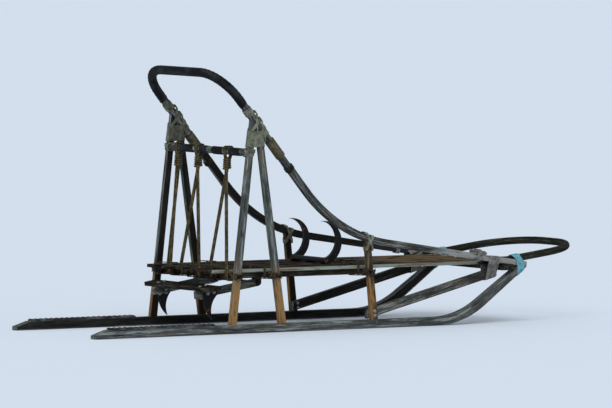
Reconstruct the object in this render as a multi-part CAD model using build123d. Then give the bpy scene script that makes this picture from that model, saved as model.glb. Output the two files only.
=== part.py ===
from build123d import *
from math import cos, hypot, radians, sin, tan
import os

# Wooden basket sled for a dog team, in millimetres. +X is forward, +Y is left and +Z is up.
# Stations run forward from the foot of the rear posts, and heights run up from the ground.
# In the finished frame X = 0 is at half of the overall length.

# Overall sizes
track = 500.0
tail_length = 630.0
brush_reach = 1704.0
grip_height = 962.0
grip_station = -68.0
bed_height = 234.0

# Runner and shoe
runner_width = 36.0
runner_height = 27.0
runner_tip_height = 15.0
shoe_thickness = 5.0
shoe_width = 32.0
sole_bend_radius = 400.0
sole_rise = 35.0
sole_tip_lead = 37.0
tail_bevel_run = 60.0
tail_bevel_height = 14.0

# Handle bow and side rails
bow_radius = 15.0
bow_corner_radius = 125.0
leg_angle = 48.0
rail_angle = 8.0
rail_front_station = 1342.0
rail_housing = 6.0
rail_end_lead = 44.0
rail_bend_radius = 640.0
rail_width = 22.0
rail_below = 12.0
rail_above = 15.0
rail_nose_above = 9.0
lap_drop = 72.0
lap_length = 160.0
rail_nose_round = 6.0

# Posts and stanchions
post_width = 20.0
post_foot_depth = 30.0
post_head_depth = 23.0
rear_post_reach = 83.0
brace_foot_station = 229.0
brace_post_reach = 105.0
stanchion_foot_station = 660.0
stanchion_lean = 38.0
foot_tenon_length = 16.0
foot_tenon_width = 12.0
foot_tenon_depth = 18.0

# Bed
slat_count = 5
slat_width = 52.0
slat_thickness = 12.0
slat_brush_clearance = 3.0
slat_overhang = 66.0
slat_nose_seat = 43.0
slat_corner_radius = 12.0
slat_ease = 2.5
crosspiece_depth = 40.0
crosspiece_height = 22.0
crosspiece_tenon_depth = 16.0
crosspiece_tenon_height = 12.0
crosspiece_tenon_proud = 12.0
tenon_chamfer = 2.0
beam_width = 20.0
beam_edge_inset = 4.0
beam_overhang = 12.0
beam_chamfer = 2.0
nose_crosspiece_depth = 60.0
nose_crosspiece_setback = 26.0
bridle_hole_radius = 7.0

# Back crossbar
crossbar_height = 668.0
crossbar_radius = 13.0
crossbar_tenon_radius = 8.0
crossbar_tenon_length = 14.0

# Brush bow
brush_radius = 14.0
brush_corner_radius = 190.0
brush_rise = 49.0
brush_lap = 132.0
brush_scarf_height = 9.0
brush_scarf_length = 64.0

# Front braces
front_brace_width = 20.0
front_brace_height = 34.0
front_brace_heel = 20.0
front_brace_root_gap = 2.6
front_brace_nose_drop = 15.0

# Claw brake
brake_arm_spacing = 260.0
brake_arm_width = 18.0
brake_arm_height = 28.0
brake_arm_length = 285.0
brake_arm_fall = 8.3
brake_pivot_drop = 22.0
brake_pin_radius = 5.0
brake_pin_clearance = 0.06
brake_side_clearance = 2.0
brake_bar_side_gap = 30.0
brake_bar_depth = 60.0
brake_bar_thickness = 14.0
brake_bar_setback = 10.0
brake_bar_end_radius = 14.0
bracket_gauge = 3.0
bracket_length = 40.0
bracket_ear_radius = 12.0
pin_head_radius = 8.0
pin_head_thickness = 4.0
claw_gauge = 6.0
claw_inset = 2.0
claw_shank_front = 33.0
claw_shank_depth = 56.0
claw_belly = 6.0
claw_throat = 1.0
claw_tip_station = -12.0
claw_tip_height = 45.0

# Rubber foot pads
pad_start = 90.0
pad_length = 470.0
pad_width = 32.0
pad_thickness = 5.0
pad_rib_height = 3.0
pad_rib_length = 8.0
pad_rib_pitch = 24.0

# Snow hook, stowed on the bed
hook_station = 546.0
hook_bar_radius = 12.0
hook_tine_spacing = 200.0
hook_tine_radius = 76.0
hook_tine_root = 24.0
hook_tine_gauge = 12.0
hook_tine_thinning = 0.5
hook_root_angle = -75.0
hook_tip_angle = 95.0
hook_shank_length = 200.0
hook_shank_width = 30.0
hook_shank_thickness = 6.0
hook_eye_radius = 7.5
hook_gusset_reach = 62.0
hook_gusset_length = 84.0
hook_seat_gap = 0.3

# Eased edges
ease = 3.0

# Levels and lines that follow from the sizes above
side_y = track / 2
middle = (brush_reach + brush_radius - tail_length) / 2
runner_top = shoe_thickness + runner_height
slat_underside = bed_height - slat_thickness
crosspiece_underside = slat_underside - crosspiece_height
crosspiece_centre = slat_underside - crosspiece_height / 2
rail_front_height = slat_underside - rail_housing + rail_below
rail_end_station = rail_front_station + rail_end_lead
nose_end_station = rail_front_station - nose_crosspiece_setback
nose_start_station = nose_end_station - nose_crosspiece_depth
slat_end_station = nose_start_station + slat_nose_seat
brush_side_y = side_y - rail_width / 2 - brush_radius
slat_edge_y = brush_side_y - brush_radius - slat_brush_clearance
slat_pitch = (2 * slat_edge_y - slat_width) / (slat_count - 1)
beam_y = slat_edge_y - beam_edge_inset - beam_width / 2
lap_start = (brace_post_reach - grip_station) / cos(radians(leg_angle)) + lap_drop
leg_way = (cos(radians(leg_angle)), -sin(radians(leg_angle)))
rail_way = (cos(radians(rail_angle)), -sin(radians(rail_angle)))
leg_normal = (sin(radians(leg_angle)), cos(radians(leg_angle)))
rail_normal = (sin(radians(rail_angle)), cos(radians(rail_angle)))
sides = (("left", 1), ("right", -1))


def at(station, y, height):
    return Vector(station - middle, y, height)


def along(start, way, distance):
    return (start[0] + way[0] * distance, start[1] + way[1] * distance)


def side_plane(y):
    return Plane(origin=(-middle, y, 0), x_dir=(1, 0, 0), z_dir=(0, -1, 0))


def box_between(low, high):
    size = high - low
    return Pos(*((low + high) / 2)) * Box(size.X, size.Y, size.Z)


def sawn(points, y, width, edge=ease):
    """A piece cut to a side outline from a plank, with its long edges eased."""
    outline = side_plane(y) * make_face(Polyline(*points, close=True))
    piece = extrude(outline, amount=width / 2, both=True)
    return fillet(piece.edges().filter_by(Axis.Y, reverse=True), edge)


def tapered_post(foot, head, y):
    """A straight post, deeper at its foot, that runs on below the foot for the cut there."""
    length = hypot(head[0] - foot[0], head[1] - foot[1])
    way = ((head[0] - foot[0]) / length, (head[1] - foot[1]) / length)
    normal = (-way[1], way[0])
    low = along(foot, way, -post_foot_depth)
    points = [along(low, normal, -post_foot_depth / 2), along(head, normal, -post_head_depth / 2),
              along(head, normal, post_head_depth / 2), along(low, normal, post_foot_depth / 2)]
    post = split(sawn(points, y, post_width), Plane.XY.offset(runner_top), keep=Keep.TOP)
    return post + foot_tenon(foot[0], y)


def foot_tenon(station, y):
    half = foot_tenon_length / 2
    return box_between(at(station - half, y - foot_tenon_width / 2, runner_top - foot_tenon_depth),
                       at(station + half, y + foot_tenon_width / 2, runner_top + ease))


def station_at(foot, head, height):
    return foot[0] + (head[0] - foot[0]) * (height - foot[1]) / (head[1] - foot[1])


# Side line of the handle leg and the rail: they cross at the knee and are joined by one large arc
grip = (grip_station, grip_height)
knee_station = (grip_height - rail_front_height + grip_station * tan(radians(leg_angle))
                - rail_front_station * tan(radians(rail_angle)))
knee_station /= tan(radians(leg_angle)) - tan(radians(rail_angle))
knee = (knee_station, rail_front_height + (rail_front_station - knee_station) * tan(radians(rail_angle)))
rail_turn = leg_angle - rail_angle
knee_tangent = rail_bend_radius * tan(radians(rail_turn / 2))
bend_start = along(knee, leg_way, -knee_tangent)
bend_end = along(knee, rail_way, knee_tangent)
bend_centre = along(bend_start, leg_normal, rail_bend_radius)
lap_top = along(grip, leg_way, lap_start)
lap_foot = along(grip, leg_way, lap_start + lap_length)


# The sole's straight front meets the rail's underside at the tip, which places its bend
tip_station = rail_front_station + sole_tip_lead
tip_height = (rail_front_height - rail_below / cos(radians(rail_angle))
              - sole_tip_lead * tan(radians(rail_angle)))
bend_rise = sole_bend_radius * (1 - cos(radians(sole_rise)))
sole_bend_station = (tip_station - sole_bend_radius * sin(radians(sole_rise))
                     - (tip_height - bend_rise) / tan(radians(sole_rise)))
sole_front_run = (tip_height - bend_rise) / sin(radians(sole_rise)) + 2 * runner_height


def leg_point(station):
    return (station, grip_height - (station - grip_station) * tan(radians(leg_angle)))


def rail_height_at(station):
    """Height of the rail's centre line at a station in its bend."""
    return bend_centre[1] - (rail_bend_radius ** 2 - (station - bend_centre[0]) ** 2) ** 0.5


rear_foot = (0.0, runner_top)
rear_head = leg_point(rear_post_reach)
brace_foot = (brace_foot_station, runner_top)
brace_head = leg_point(brace_post_reach)
stanchion_foot = (stanchion_foot_station, runner_top)
stanchion_head_station = stanchion_foot_station - stanchion_lean
stanchion_head = (stanchion_head_station, rail_height_at(stanchion_head_station))
posts = (("rear_post", rear_foot, rear_head),
         ("brace_post", brace_foot, brace_head),
         ("front_stanchion", stanchion_foot, stanchion_head))
crosspieces = (("rear_crosspiece", station_at(rear_foot, rear_head, crosspiece_centre)),
               ("middle_crosspiece", station_at(brace_foot, brace_head, crosspiece_centre)),
               ("front_crosspiece", station_at(stanchion_foot, stanchion_head, crosspiece_centre)))


def sole_strip(low, high, tip_high, tail_high, y, width, edge=0.0):
    """A strip bent along the sole: flat, one arc, then straight up to the nose."""
    centre = (sole_bend_station, sole_bend_radius)
    angle = radians(sole_rise)
    way = (cos(angle), sin(angle))

    def bent(offset, run):
        radius = sole_bend_radius - offset
        return along((centre[0] + radius * sin(angle), centre[1] - radius * cos(angle)), way, run)

    tail = -tail_length
    back = [(sole_bend_station, high), (tail, high), (tail, low)]
    if tail_high < high:
        back = [(sole_bend_station, high), (tail + tail_bevel_run, high), (tail, tail_high), (tail, low)]
    edges = [Line((tail, low), (sole_bend_station, low)),
             CenterArc(centre, sole_bend_radius - low, -90, sole_rise),
             Line(bent(low, 0), bent(low, sole_front_run)),
             Line(bent(low, sole_front_run), bent(tip_high, sole_front_run)),
             Line(bent(tip_high, sole_front_run), bent(high, 0)),
             CenterArc(centre, sole_bend_radius - high, -90 + sole_rise, -sole_rise),
             Polyline(*back)]
    strip = extrude(side_plane(y) * make_face(edges), amount=width / 2, both=True)
    if edge:
        strip = fillet(strip.edges().filter_by(Axis.Y, reverse=True), edge)
    rail_up = Vector(rail_normal[0], 0, rail_normal[1])
    rail_foot = at(rail_front_station, y, rail_front_height) - rail_up * rail_below
    cut = Plane(origin=rail_foot, x_dir=(rail_way[0], 0, rail_way[1]), z_dir=rail_up)
    return split(strip, cut, keep=Keep.BOTTOM)


def lap_block(side, inner):
    """The half of the lap joint that is cut away, inside or outside of the track line."""
    depth = 3 * bow_radius
    low, high = (-depth, 0) if inner == (side > 0) else (0, depth)
    plane = Plane(origin=at(lap_top[0], side * side_y, lap_top[1]), x_dir=(0, 1, 0),
                  z_dir=(leg_way[0], 0, leg_way[1]))
    reach = lap_length if not inner else lap_length + depth
    return plane * (Pos((low + high) / 2, 0, reach / 2) * Box(high - low, 2 * depth, reach))


def side_rail(side):
    y = side * side_y
    nose_run = (rail_end_station - bend_end[0]) / rail_way[0]
    nose = along(bend_end, rail_way, nose_run)
    start_angle = -90 - leg_angle
    edges = [Line(along(lap_top, leg_normal, rail_above), along(bend_start, leg_normal, rail_above)),
             CenterArc(bend_centre, rail_bend_radius - rail_above, start_angle, rail_turn),
             Line(along(bend_end, rail_normal, rail_above), along(nose, rail_normal, rail_nose_above)),
             Line(along(nose, rail_normal, rail_nose_above), along(nose, rail_normal, -rail_below)),
             Line(along(nose, rail_normal, -rail_below), along(bend_end, rail_normal, -rail_below)),
             CenterArc(bend_centre, rail_bend_radius + rail_below, start_angle + rail_turn, -rail_turn),
             Line(along(bend_start, leg_normal, -rail_below), along(lap_top, leg_normal, -rail_below)),
             Line(along(lap_top, leg_normal, -rail_below), along(lap_top, leg_normal, rail_above))]
    rail = extrude(side_plane(y) * make_face(edges), amount=rail_width / 2, both=True)
    nose_top = rail.edges().filter_by(Axis.Y).sort_by(Axis.X)[-2:].sort_by(Axis.Z)[-1]
    rail = fillet(nose_top, rail_nose_round)
    rail = fillet(rail.edges().filter_by(Axis.Y, reverse=True), ease)
    return rail - lap_block(side, inner=False)


def handle_bow():
    """One bent hoop: the grip across the top and a straight leg down each side."""
    ends = [at(lap_foot[0], side * side_y, lap_foot[1]) for side in (-1, 1)]
    corners = [at(grip_station, side * side_y, grip_height) for side in (-1, 1)]
    path = FilletPolyline(ends[0], corners[0], corners[1], ends[1], radius=bow_corner_radius)
    bow = sweep(Plane(origin=path @ 0, z_dir=path % 0) * Circle(bow_radius), path=path)
    for side in (-1, 1):
        bow -= lap_block(side, inner=True)
    return bow


def brush_bow():
    """The hoop ahead of the nose that pushes brush aside."""
    root_height = slat_underside + brush_radius
    root = [at(nose_end_station - brush_lap, side * brush_side_y, root_height) for side in (-1, 1)]
    nose = [at(nose_end_station, side * brush_side_y, root_height) for side in (-1, 1)]
    front = [at(brush_reach, side * brush_side_y, root_height + brush_rise) for side in (-1, 1)]
    path = FilletPolyline(root[0], nose[0], front[0], front[1], nose[1], root[1],
                          radius=[brush_corner_radius] * 4)
    bow = sweep(Plane(origin=path @ 0, z_dir=path % 0) * Circle(brush_radius), path=path)
    slope = (2 * brush_radius - brush_scarf_height) / brush_scarf_length
    scarf_foot = at(nose_end_station - brush_lap, 0, slat_underside + brush_scarf_height)
    scarf = Plane(origin=scarf_foot, x_dir=(1, 0, slope), z_dir=(-slope, 0, 1))
    return split(bow, scarf, keep=Keep.BOTTOM)


def back_crossbar():
    station = station_at(rear_foot, rear_head, crossbar_height)
    length = track - post_width
    bar = Cylinder(crossbar_radius, length, rotation=(90, 0, 0))
    tenons = Cylinder(crossbar_tenon_radius, length + 2 * crossbar_tenon_length, rotation=(90, 0, 0))
    return Pos(*at(station, 0, crossbar_height)) * (bar + tenons)


def crosspiece(station):
    half = track / 2 - post_width / 2
    body = box_between(at(station - crosspiece_depth / 2, -half, crosspiece_underside),
                       at(station + crosspiece_depth / 2, half, slat_underside))
    body = fillet(body.edges().filter_by(Axis.Y), ease) + crosspiece_tenon(station)
    for _, side in sides:
        y = side * beam_y
        body -= box_between(at(station - crosspiece_depth, y - beam_width / 2, crosspiece_centre),
                            at(station + crosspiece_depth, y + beam_width / 2, bed_height))
    return body


def crosspiece_tenon(station):
    reach = track / 2 + post_width / 2 + crosspiece_tenon_proud
    half_depth = crosspiece_tenon_depth / 2
    half_height = crosspiece_tenon_height / 2
    tenon = box_between(at(station - half_depth, -reach, crosspiece_centre - half_height),
                        at(station + half_depth, reach, crosspiece_centre + half_height))
    ends = tenon.faces().filter_by(Axis.Y).edges()
    return chamfer(ends, tenon_chamfer)


def bed_beam(side):
    """The bed's side beam under the outer slat, half-lapped over each crosspiece between the posts."""
    y = side * beam_y
    reach = crosspiece_depth / 2 + beam_overhang
    beam = box_between(at(crosspieces[0][1] - reach, y - beam_width / 2, crosspiece_underside),
                       at(crosspieces[-1][1] + reach, y + beam_width / 2, slat_underside))
    beam = chamfer(beam.edges().filter_by(Axis.X), beam_chamfer)
    for _, station in crosspieces:
        beam -= box_between(at(station - crosspiece_depth / 2, y - beam_width, 0),
                            at(station + crosspiece_depth / 2, y + beam_width, crosspiece_centre))
    return beam


def bed_slat(y):
    slat = box_between(at(-slat_overhang, y - slat_width / 2, slat_underside),
                       at(slat_end_station, y + slat_width / 2, bed_height))
    slat = fillet(slat.edges().filter_by(Axis.Z), slat_corner_radius)
    return fillet(slat.edges().group_by(Axis.Z)[-1], slat_ease)


def nose_crosspiece(neighbours):
    board = box_between(at(nose_start_station, -side_y - runner_width / 2, crosspiece_underside),
                        at(nose_end_station, side_y + runner_width / 2, slat_underside))
    board = fillet(board.edges().filter_by(Axis.Y), ease)
    hole_y = slat_pitch * 1.5
    for side in (-1, 1):
        centre = at((nose_start_station + nose_end_station) / 2, side * hole_y, crosspiece_centre)
        board -= Pos(*centre) * Cylinder(bridle_hole_radius, 3 * crosspiece_height)
    for neighbour in neighbours:
        board -= neighbour
    return board


def front_brace(side):
    y = side * (side_y - post_width / 2 - front_brace_width / 2)
    root_station = stanchion_foot_station - front_brace_heel
    root_height = runner_top + front_brace_root_gap + front_brace_height / 2
    nose_height = crosspiece_centre - front_brace_nose_drop
    run = nose_start_station - root_station
    half = front_brace_height / 2 * hypot(nose_height - root_height, run) / run
    points = [(root_station, root_height - half), (nose_start_station, nose_height - half),
              (nose_start_station, nose_height + half), (root_station, root_height + half)]
    return sawn(points, y, front_brace_width)


def runner(side):
    y = side * side_y
    body = sole_strip(shoe_thickness, runner_top, shoe_thickness + runner_tip_height, tail_bevel_height, y,
                      runner_width, edge=(runner_width - shoe_width) / 2)
    for _, foot, _ in posts:
        body -= foot_tenon(foot[0], y)
    return body


def runner_shoe(side):
    return sole_strip(0, shoe_thickness, shoe_thickness, shoe_thickness, side * side_y, shoe_width)


def foot_pad(side):
    y = side * side_y
    front = -pad_start
    rear = front - pad_length
    pad = box_between(at(rear, y - pad_width / 2, runner_top),
                      at(front, y + pad_width / 2, runner_top + pad_thickness))
    ribs = int((pad_length - pad_rib_length) // pad_rib_pitch) + 1
    first = (pad_length - (ribs - 1) * pad_rib_pitch) / 2
    for index in range(ribs):
        centre = rear + first + index * pad_rib_pitch
        pad += box_between(at(centre - pad_rib_length / 2, y - pad_width / 2, runner_top),
                           at(centre + pad_rib_length / 2, y + pad_width / 2,
                              runner_top + pad_thickness + pad_rib_height))
    return pad


# The brake's own plane runs back from its pivot along the arm, with its second axis up
pivot_station = crosspieces[1][1]
pivot_height = crosspiece_underside - brake_pivot_drop
fall = radians(brake_arm_fall)


def brake_plane(y):
    return Plane(origin=at(pivot_station, y, pivot_height), x_dir=(-cos(fall), 0, -sin(fall)),
                 z_dir=(0, 1, 0))


def brake_point(station, height):
    """A place in the side view, measured in the brake's own plane."""
    back = pivot_station - station
    down = pivot_height - height
    return (back * cos(fall) + down * sin(fall), back * sin(fall) - down * cos(fall))


def brake_arm(side):
    y = side * brake_arm_spacing / 2
    half = brake_arm_height / 2
    outline = make_face([Line((0, half), (brake_arm_length, half)),
                         Line((brake_arm_length, half), (brake_arm_length, -half)),
                         Line((brake_arm_length, -half), (0, -half)),
                         CenterArc((0, 0), half, -90, -180)])
    arm = extrude(brake_plane(y) * outline, amount=brake_arm_width / 2, both=True)
    bore = Cylinder(brake_pin_radius + brake_pin_clearance, 2 * brake_arm_width, rotation=(90, 0, 0))
    return arm - Pos(*at(pivot_station, y, pivot_height)) * bore


def brake_bar():
    half = brake_arm_height / 2
    end = brake_arm_length - brake_bar_setback
    front = end - brake_bar_depth
    top = half + brake_bar_thickness
    outline = make_face(Polyline((front, half), (end, half), (end, top), (front, top), close=True))
    reach = side_y - post_width / 2 - brake_bar_side_gap
    bar = extrude(brake_plane(0) * outline, amount=reach, both=True)
    upright = Axis((0, 0, 0), (-sin(fall), 0, cos(fall)))
    bar = fillet(bar.edges().filter_by(upright), brake_bar_end_radius)
    return fillet(bar.edges().group_by(upright)[-1], ease)


def brake_claw(side):
    y = side * (brake_arm_spacing / 2 + brake_arm_width / 2 + claw_gauge / 2)
    half = brake_arm_height / 2 - claw_inset
    tip = brake_point(claw_tip_station, claw_tip_height)
    front = tip[0] - claw_shank_front
    rear = front + claw_shank_depth
    outline = make_face([Line((front, half), (rear, half)),
                         ThreePointArc((rear, half), (rear + claw_belly, tip[1] / 2), tip),
                         ThreePointArc(tip, (tip[0] - claw_throat, tip[1] / 2), (front, -half)),
                         Line((front, -half), (front, half))])
    return extrude(brake_plane(y) * outline, amount=claw_gauge / 2, both=True)


def brake_bracket(side):
    y = side * brake_arm_spacing / 2
    inner = brake_arm_width / 2 + brake_side_clearance
    outer = inner + bracket_gauge
    plate_underside = crosspiece_underside - bracket_gauge
    bracket = box_between(at(pivot_station - bracket_length / 2, y - outer, plate_underside),
                          at(pivot_station + bracket_length / 2, y + outer, crosspiece_underside))
    for ear_side in (-1, 1):
        ear_y = y + ear_side * (inner + outer) / 2
        ear = box_between(at(pivot_station - bracket_ear_radius, ear_y - bracket_gauge / 2, pivot_height),
                          at(pivot_station + bracket_ear_radius, ear_y + bracket_gauge / 2, plate_underside))
        tip = Cylinder(bracket_ear_radius, bracket_gauge, rotation=(90, 0, 0))
        bracket += ear + Pos(*at(pivot_station, ear_y, pivot_height)) * tip
    bore = Cylinder(brake_pin_radius, 4 * outer, rotation=(90, 0, 0))
    return bracket - Pos(*at(pivot_station, y, pivot_height)) * bore


def brake_pivot_rod():
    reach = brake_arm_spacing / 2 + brake_arm_width / 2 + brake_side_clearance + bracket_gauge
    rod = Cylinder(brake_pin_radius, 2 * reach, rotation=(90, 0, 0))
    head = Cylinder(pin_head_radius, pin_head_thickness, rotation=(90, 0, 0))
    for side in (-1, 1):
        rod += Pos(0, side * (reach + pin_head_thickness / 2), 0) * head
    return Pos(*at(pivot_station, 0, pivot_height)) * rod


def snow_hook():
    """A two-tined anchor that lies on the bed with its tines up and its shank forward."""
    base = bed_height + hook_seat_gap
    bar_height = base + hook_bar_radius
    crossbar = Cylinder(hook_bar_radius, hook_tine_spacing + hook_tine_gauge, rotation=(90, 0, 0))
    hook = Pos(*at(hook_station, 0, bar_height)) * crossbar
    centre = along((hook_station, bar_height), (cos(radians(hook_root_angle)), sin(radians(hook_root_angle))),
                   -hook_tine_radius)
    inner = hook_tine_radius - hook_tine_root / 2
    outer = hook_tine_radius + hook_tine_root / 2
    belly_angle = (hook_root_angle + hook_tip_angle) / 2

    def polar(radius, angle):
        return (centre[0] + radius * cos(radians(angle)), centre[1] + radius * sin(radians(angle)))

    tip = polar(hook_tine_radius, hook_tip_angle)
    outline = make_face([ThreePointArc(polar(outer, hook_root_angle),
                                       polar(outer - hook_tine_thinning, belly_angle), tip),
                         ThreePointArc(tip, polar(inner + hook_tine_thinning, belly_angle),
                                       polar(inner, hook_root_angle)),
                         Line(polar(inner, hook_root_angle), polar(outer, hook_root_angle))])
    for side in (-1, 1):
        tine_plane = side_plane(side * hook_tine_spacing / 2)
        hook += extrude(tine_plane * outline, amount=hook_tine_gauge / 2, both=True)
    return hook + hook_shank(base)


def hook_shank(base):
    """The flat bar to the line's eye, spread into a gusset where it is welded to the crossbar."""
    half = hook_shank_width / 2
    shank_end = hook_station + hook_shank_length
    plan = Plane(origin=at(0, 0, base), x_dir=(1, 0, 0), z_dir=(0, 0, 1))
    edges = [Polyline((shank_end, half), (hook_station + hook_gusset_length, half),
                      (hook_station, hook_gusset_reach), (hook_station, -hook_gusset_reach),
                      (hook_station + hook_gusset_length, -half), (shank_end, -half)),
             ThreePointArc((shank_end, -half), (shank_end + half, 0), (shank_end, half))]
    shank = extrude(plan * make_face(edges), amount=hook_shank_thickness)
    return shank - Pos(*at(shank_end, 0, base)) * Cylinder(hook_eye_radius, 4 * hook_shank_thickness)


def build():
    parts = {}
    bow = handle_bow()
    rails = {name: side_rail(side) for name, side in sides}
    bar = back_crossbar()
    parts["handle_bow"] = bow
    parts["back_crossbar"] = bar
    parts["brush_bow"] = brush_bow()
    for name, side in sides:
        y = side * side_y
        parts[f"side_rail_{name}"] = rails[name]
        parts[f"runner_{name}"] = runner(side)
        parts[f"runner_shoe_{name}"] = runner_shoe(side)
        parts[f"foot_pad_{name}"] = foot_pad(side)
        parts[f"front_brace_{name}"] = front_brace(side)
        parts[f"bed_beam_{name}"] = bed_beam(side)
        for (post_name, foot, head), (_, station) in zip(posts, crosspieces):
            post = tapered_post(foot, head, y) - bow - rails[name] - crosspiece_tenon(station)
            if post_name == "rear_post":
                post -= bar
            parts[f"{post_name}_{name}"] = post
        parts[f"brake_arm_{name}"] = brake_arm(side)
        parts[f"brake_claw_{name}"] = brake_claw(side)
        parts[f"brake_bracket_{name}"] = brake_bracket(side)
    for name, station in crosspieces:
        parts[name] = crosspiece(station)
    neighbours = [parts[f"{piece}_{name}"] for piece in ("runner", "side_rail") for name, _ in sides]
    parts["nose_crosspiece"] = nose_crosspiece(neighbours)
    for index in range(slat_count):
        y = (index - (slat_count - 1) / 2) * slat_pitch
        parts[f"bed_slat_{index + 1}"] = bed_slat(y)
    parts["brake_bar"] = brake_bar()
    parts["brake_pivot_rod"] = brake_pivot_rod()
    parts["snow_hook"] = snow_hook()
    return parts


os.makedirs("parts", exist_ok=True)
for node, shape in build().items():
    solids = shape.solids()
    export_step(Compound(children=list(solids)) if len(solids) > 1 else solids[0], f"parts/{node}.step")
    print(node, len(solids), round(shape.volume))
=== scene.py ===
# %% [markdown]
# # A wooden dog sled
# This lesson dresses a finished construction model of a basket sled: weathered ash, cord lashings at every
# joint, a taped handle, a laced back, and dark steel for the brake and the snow hook. The construction model
# already has every stick at its real size, so nothing here is moved or resized. New pieces are only added
# where a real sled has something too fine for the construction model.

# %% Load the sled
import math

import bpy
from mathutils import Matrix, Vector


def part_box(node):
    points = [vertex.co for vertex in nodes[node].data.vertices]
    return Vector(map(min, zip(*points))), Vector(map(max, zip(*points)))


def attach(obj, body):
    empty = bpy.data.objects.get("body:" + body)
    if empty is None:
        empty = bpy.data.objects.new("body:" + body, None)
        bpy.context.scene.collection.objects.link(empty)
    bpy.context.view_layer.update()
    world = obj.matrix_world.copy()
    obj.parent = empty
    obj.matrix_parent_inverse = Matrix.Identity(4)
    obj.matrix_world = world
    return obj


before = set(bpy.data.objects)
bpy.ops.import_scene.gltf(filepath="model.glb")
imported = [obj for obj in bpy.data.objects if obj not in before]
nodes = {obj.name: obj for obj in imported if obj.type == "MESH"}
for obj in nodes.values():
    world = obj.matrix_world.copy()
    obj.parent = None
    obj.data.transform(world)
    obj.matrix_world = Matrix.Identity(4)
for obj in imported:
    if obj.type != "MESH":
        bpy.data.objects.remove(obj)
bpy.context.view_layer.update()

# %% [markdown]
# ## Where things are
# All lengths are metres. A station is a distance ahead of the rear posts' feet, which is how a sled builder
# measures along the runners. The frame's own X starts at half of the overall length, so one function turns a
# station into a place. The handle's legs and the rails lie in one line on each side, so their slope and the
# crossing point of their straight parts are all that a curve needs later.

# %% Stations and side lines
MIDDLE_STATION = 0.544
SIDE_Y = 0.250
SIDES = (("left", 1), ("right", -1))
LEG_ANGLE = math.radians(48.0)
RAIL_ANGLE = math.radians(8.0)
GRIP = (-0.068, 0.962)
RAIL_FRONT = (1.342, 0.228)


def place(station, y, z):
    return Vector((station - MIDDLE_STATION, y, z))


def leg_height(station):
    return GRIP[1] - (station - GRIP[0]) * math.tan(LEG_ANGLE)


def rail_height(station):
    return RAIL_FRONT[1] + (RAIL_FRONT[0] - station) * math.tan(RAIL_ANGLE)


# %% Posts
RUNNER_TOP = 0.032
REAR_HEAD, BRACE_HEAD = 0.083, 0.105
# The foot and the head of each post, both as a station and a height.
POST_LINES = {"rear_post": ((0.0, RUNNER_TOP), (REAR_HEAD, leg_height(REAR_HEAD))),
              "brace_post": ((0.229, RUNNER_TOP), (BRACE_HEAD, leg_height(BRACE_HEAD))),
              "front_stanchion": ((0.660, RUNNER_TOP), (0.622, 0.3363))}


def post_station(name, z):
    (foot_s, foot_z), (head_s, head_z) = POST_LINES[name]
    return foot_s + (head_s - foot_s) * (z - foot_z) / (head_z - foot_z)


for post, (_, head) in POST_LINES.items():
    print(post, "head at station", round(head[0], 3), "height", round(head[1], 3))

# %% [markdown]
# ## Camera, floor and light
# The sled is seen from its right rear quarter, from far away and only a little above the ground, so the
# camera has a long lens and the far runner is hardly smaller than the near one. It is also rolled by less
# than a degree. The light is the even light of an overcast day: a bright world, and a sun lamp as wide as a
# cloud, which gives the sticks a soft shape without hard shadows and lights the pale floor evenly.

# %% Camera
VIEW_TURN = math.radians(-37.2)
VIEW_RISE = math.radians(3.2)
VIEW_ROLL = math.radians(0.8)
VIEW_DISTANCE = 28.0
VIEW_TARGET = Vector((-0.02, 0.0, 0.455))
LENS = 438.0

camera_data = bpy.data.cameras.new("camera")
camera_data.lens = LENS
camera_data.sensor_width = 36.0
camera_data.clip_end = 400.0
camera = bpy.data.objects.new("camera", camera_data)
bpy.context.scene.collection.objects.link(camera)
look = Vector((-math.sin(VIEW_TURN) * math.cos(VIEW_RISE), math.cos(VIEW_TURN) * math.cos(VIEW_RISE),
               -math.sin(VIEW_RISE)))
camera.location = VIEW_TARGET - look * VIEW_DISTANCE
upright = look.to_track_quat("-Z", "Y").to_matrix()
camera.rotation_euler = (Matrix.Rotation(-VIEW_ROLL, 3, look) @ upright).to_euler()
bpy.context.scene.camera = camera
print("camera at", [round(part, 2) for part in camera.location], "lens", LENS)

# %% Light and colour management
SKY_COLOUR = (0.90, 0.95, 1.0, 1)
SKY_STRENGTH = 0.62
CLOUD_STRENGTH = 1.45
CLOUD_WIDTH = math.radians(50.0)
CLOUD_WAY = Vector((5.0, 5.5, -8.0))

bpy.context.scene.view_settings.view_transform = "Standard"
world = bpy.data.worlds.new("overcast")
bpy.context.scene.world = world
world.use_nodes = True
sky = world.node_tree.nodes["Background"]
sky.inputs["Color"].default_value = SKY_COLOUR
sky.inputs["Strength"].default_value = SKY_STRENGTH

lamp_data = bpy.data.lights.new("cloud_light", "SUN")
lamp_data.angle = CLOUD_WIDTH
lamp_data.energy = CLOUD_STRENGTH
lamp = bpy.data.objects.new("cloud_light", lamp_data)
bpy.context.scene.collection.objects.link(lamp)
lamp.rotation_euler = CLOUD_WAY.to_track_quat("-Z", "Y").to_euler()
print("sky strength", SKY_STRENGTH, "cloud strength", CLOUD_STRENGTH)


# %% [markdown]
# ## A small language for materials
# A node material is a formula that Blender evaluates at every point. Wiring it by hand takes many lines, so a
# small class holds one output socket and lets ordinary operators add the Math nodes. Everything that isn't
# plain arithmetic comes from one method, `node`, which takes the node's type, its settings and its inputs.

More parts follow.
